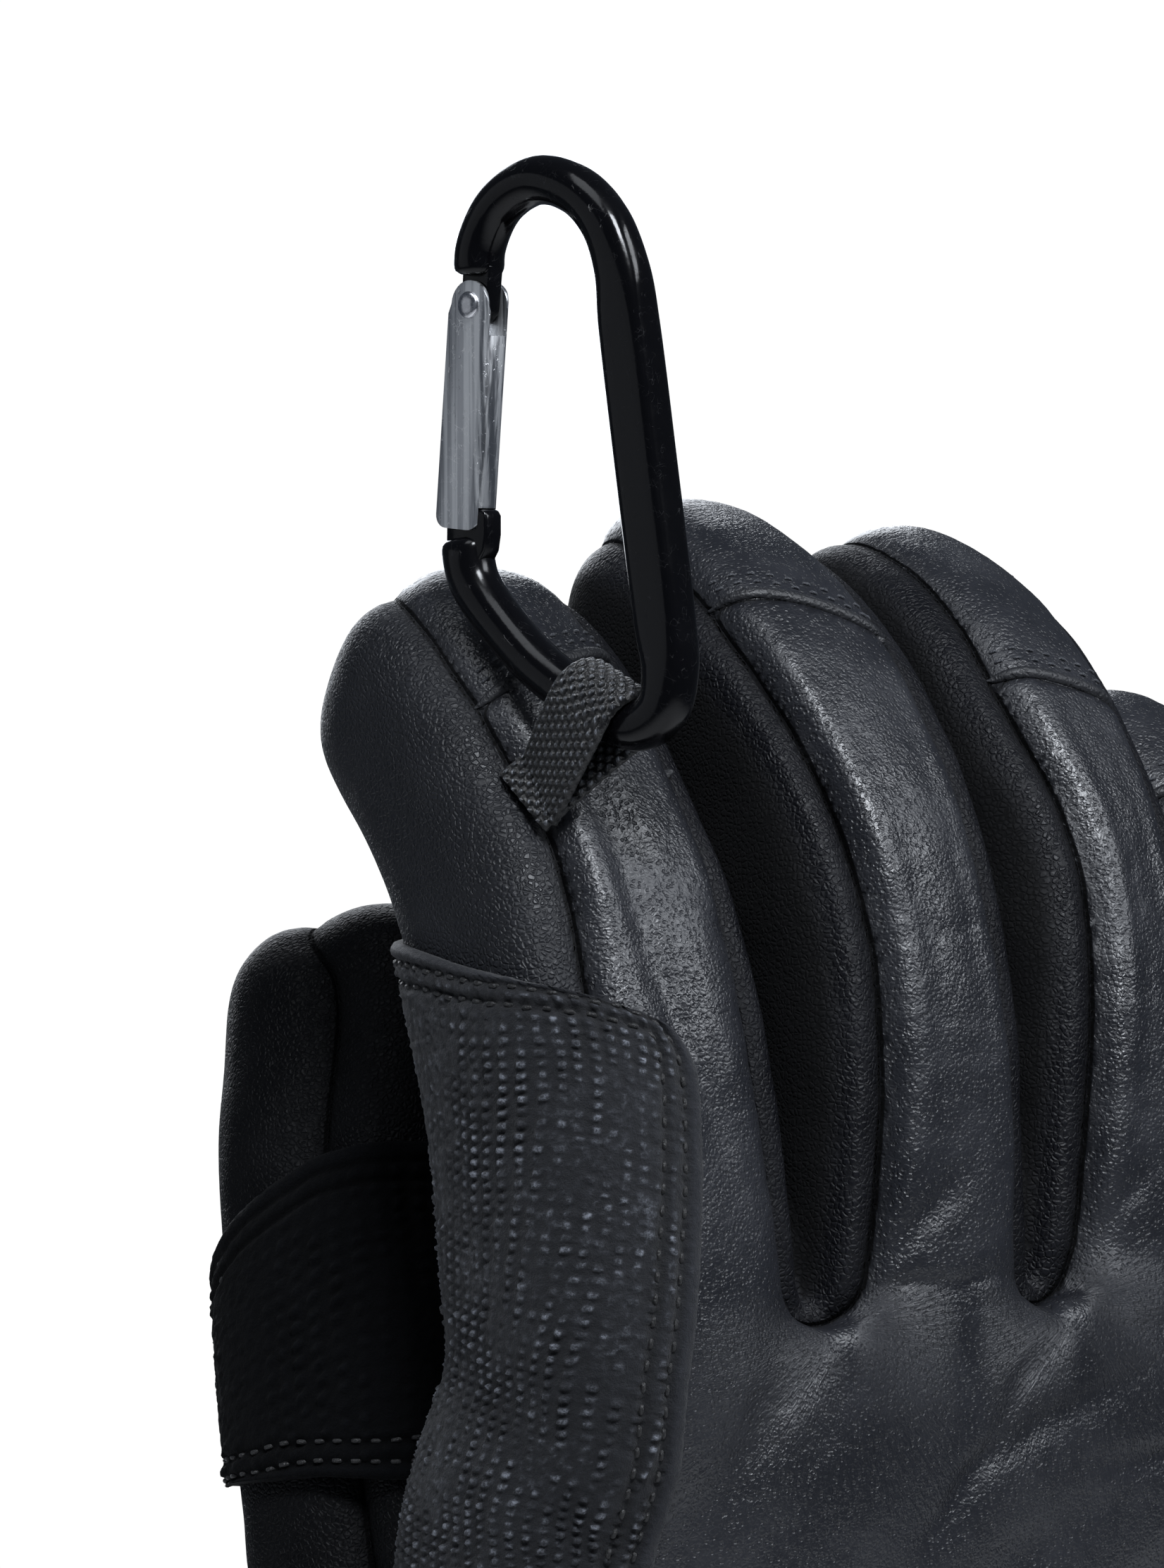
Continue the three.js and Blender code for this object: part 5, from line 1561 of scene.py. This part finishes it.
# %% dress the patches, the loop and the clip
OTHERS = [
    (index_patch, "index_grip_patch", "glove", "grip_leather", grip_leather),
    (thumb_patch, "thumb_grip_patch", "glove", "grip_leather", thumb_grip_leather),
    (hang_loop, "hang_loop", "glove", "webbing", webbing),
    (clip_frame, "clip_frame", "glove", "black_metal", black_metal),
    (clip_gate, "clip_gate", "gate", "bare_aluminium", bare_aluminium),
    (gate_rivet, "gate_rivet", "gate", "rivet_steel", rivet_steel),
    (index_patch_stitches, None, "glove", "grip_leather", grip_thread),
    (thumb_patch_stitches, None, "glove", "grip_leather", grip_thread),
    (cap_stitches, None, "glove", "back_leather", seam_thread),
    (cap_welts, None, "glove", "back_leather", back_leather),
]
for piece, node, body, slot, material in OTHERS:
    piece.data.materials.clear()
    piece.data.materials.append(material)
    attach(piece, body)
    if node:
        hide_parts(node)
# %% [markdown]
# The finish: every panel gets its leather, rides on the glove's body and stands for its solid.

# %% dress the panels
FINISHES = {"back_panel": ("back_leather", back_leather), "palm_panel": ("palm_leather", palm_leather),
            **{node: ("back_leather", back_leather) for node in PANELS if "cap" in node},
            **{node: ("side_leather", shaded_thumb_leather) for node in PANELS if "thumb" in node},
            **{node: ("side_leather", shaded_wall_leather) for node in PANELS if "fourchette" in node}}
for node, piece in panels.items():
    slot, material = FINISHES.get(node, ("side_leather", side_leather))
    piece.data.materials.clear()
    piece.data.materials.append(material)
    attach(piece, "glove")
    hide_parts(node)

# %% [markdown]
# The glove hangs in a plain pale room with soft light from the front and above. The floor
# fades out towards its rim, so that no edge of it shows behind the glove.

# %% stage and light
FLOOR_HALF, FLOOR_DROP, FADE_START = 0.75, -0.34, 0.2
floor_mesh = new_mesh("floor", [(x * FLOOR_HALF, y * FLOOR_HALF, FLOOR_DROP)
                                for x, y in ((-1, -1), (1, -1), (1, 1), (-1, 1))], [(0, 1, 2, 3)])
floor = add_object("floor", floor_mesh)
pale, t, shader, place = new_material("pale floor")
from_middle = t.vector("LENGTH", t.vector("MULTIPLY", place, (1.0, 1.0, 0.0)))
t.fill(shader, Base_Color=(0.7, 0.7, 0.7), Roughness=0.8,
       Alpha=t.left(t.ranged(from_middle, FADE_START, FLOOR_HALF)))
floor_mesh.materials.append(pale)

# The room is white to the camera, and gives the glove only a little of that light.
world = bpy.data.worlds.new("studio")
bpy.context.scene.world = world
world.use_nodes = True
t = Tree(world.node_tree)
seen = t.node("LightPath").outputs["Is Camera Ray"]
t.fill(t.tree.nodes["Background"], Color=t.mix(seen, (0.68, 0.8, 1.0), (1.0, 1.0, 1.0)),
       Strength=t.plus(0.08, t.times(seen, 0.95)))

# Each lamp: its name, its place in metres, its power in watts and the side of its square.
LAMPS = [("key light", (-0.3, -0.75, 0.9), 17, 0.34), ("right light", (0.6, -0.85, 0.75), 9, 0.5),
         ("top light", (-0.5, -0.1, 0.95), 2.5, 0.5), ("left card", (-0.95, 0.5, 0.0), 0.7, 0.8),
         ("back light", (0.45, 1.0, 0.25), 8, 0.7)]
LAMPS_AIM = Vector((0.03, 0.0, -0.09))
for name, where, power, size in LAMPS:
    lamp = bpy.data.lights.new(name, "AREA")
    lamp.energy, lamp.size, lamp.color = power, size, (0.9, 0.94, 1.0)
    light = add_object(name, lamp)
    light.location = Vector(where)
    light.rotation_euler = (LAMPS_AIM - light.location).to_track_quat("-Z", "Y").to_euler()
bpy.context.scene.view_settings.view_transform = "Standard"
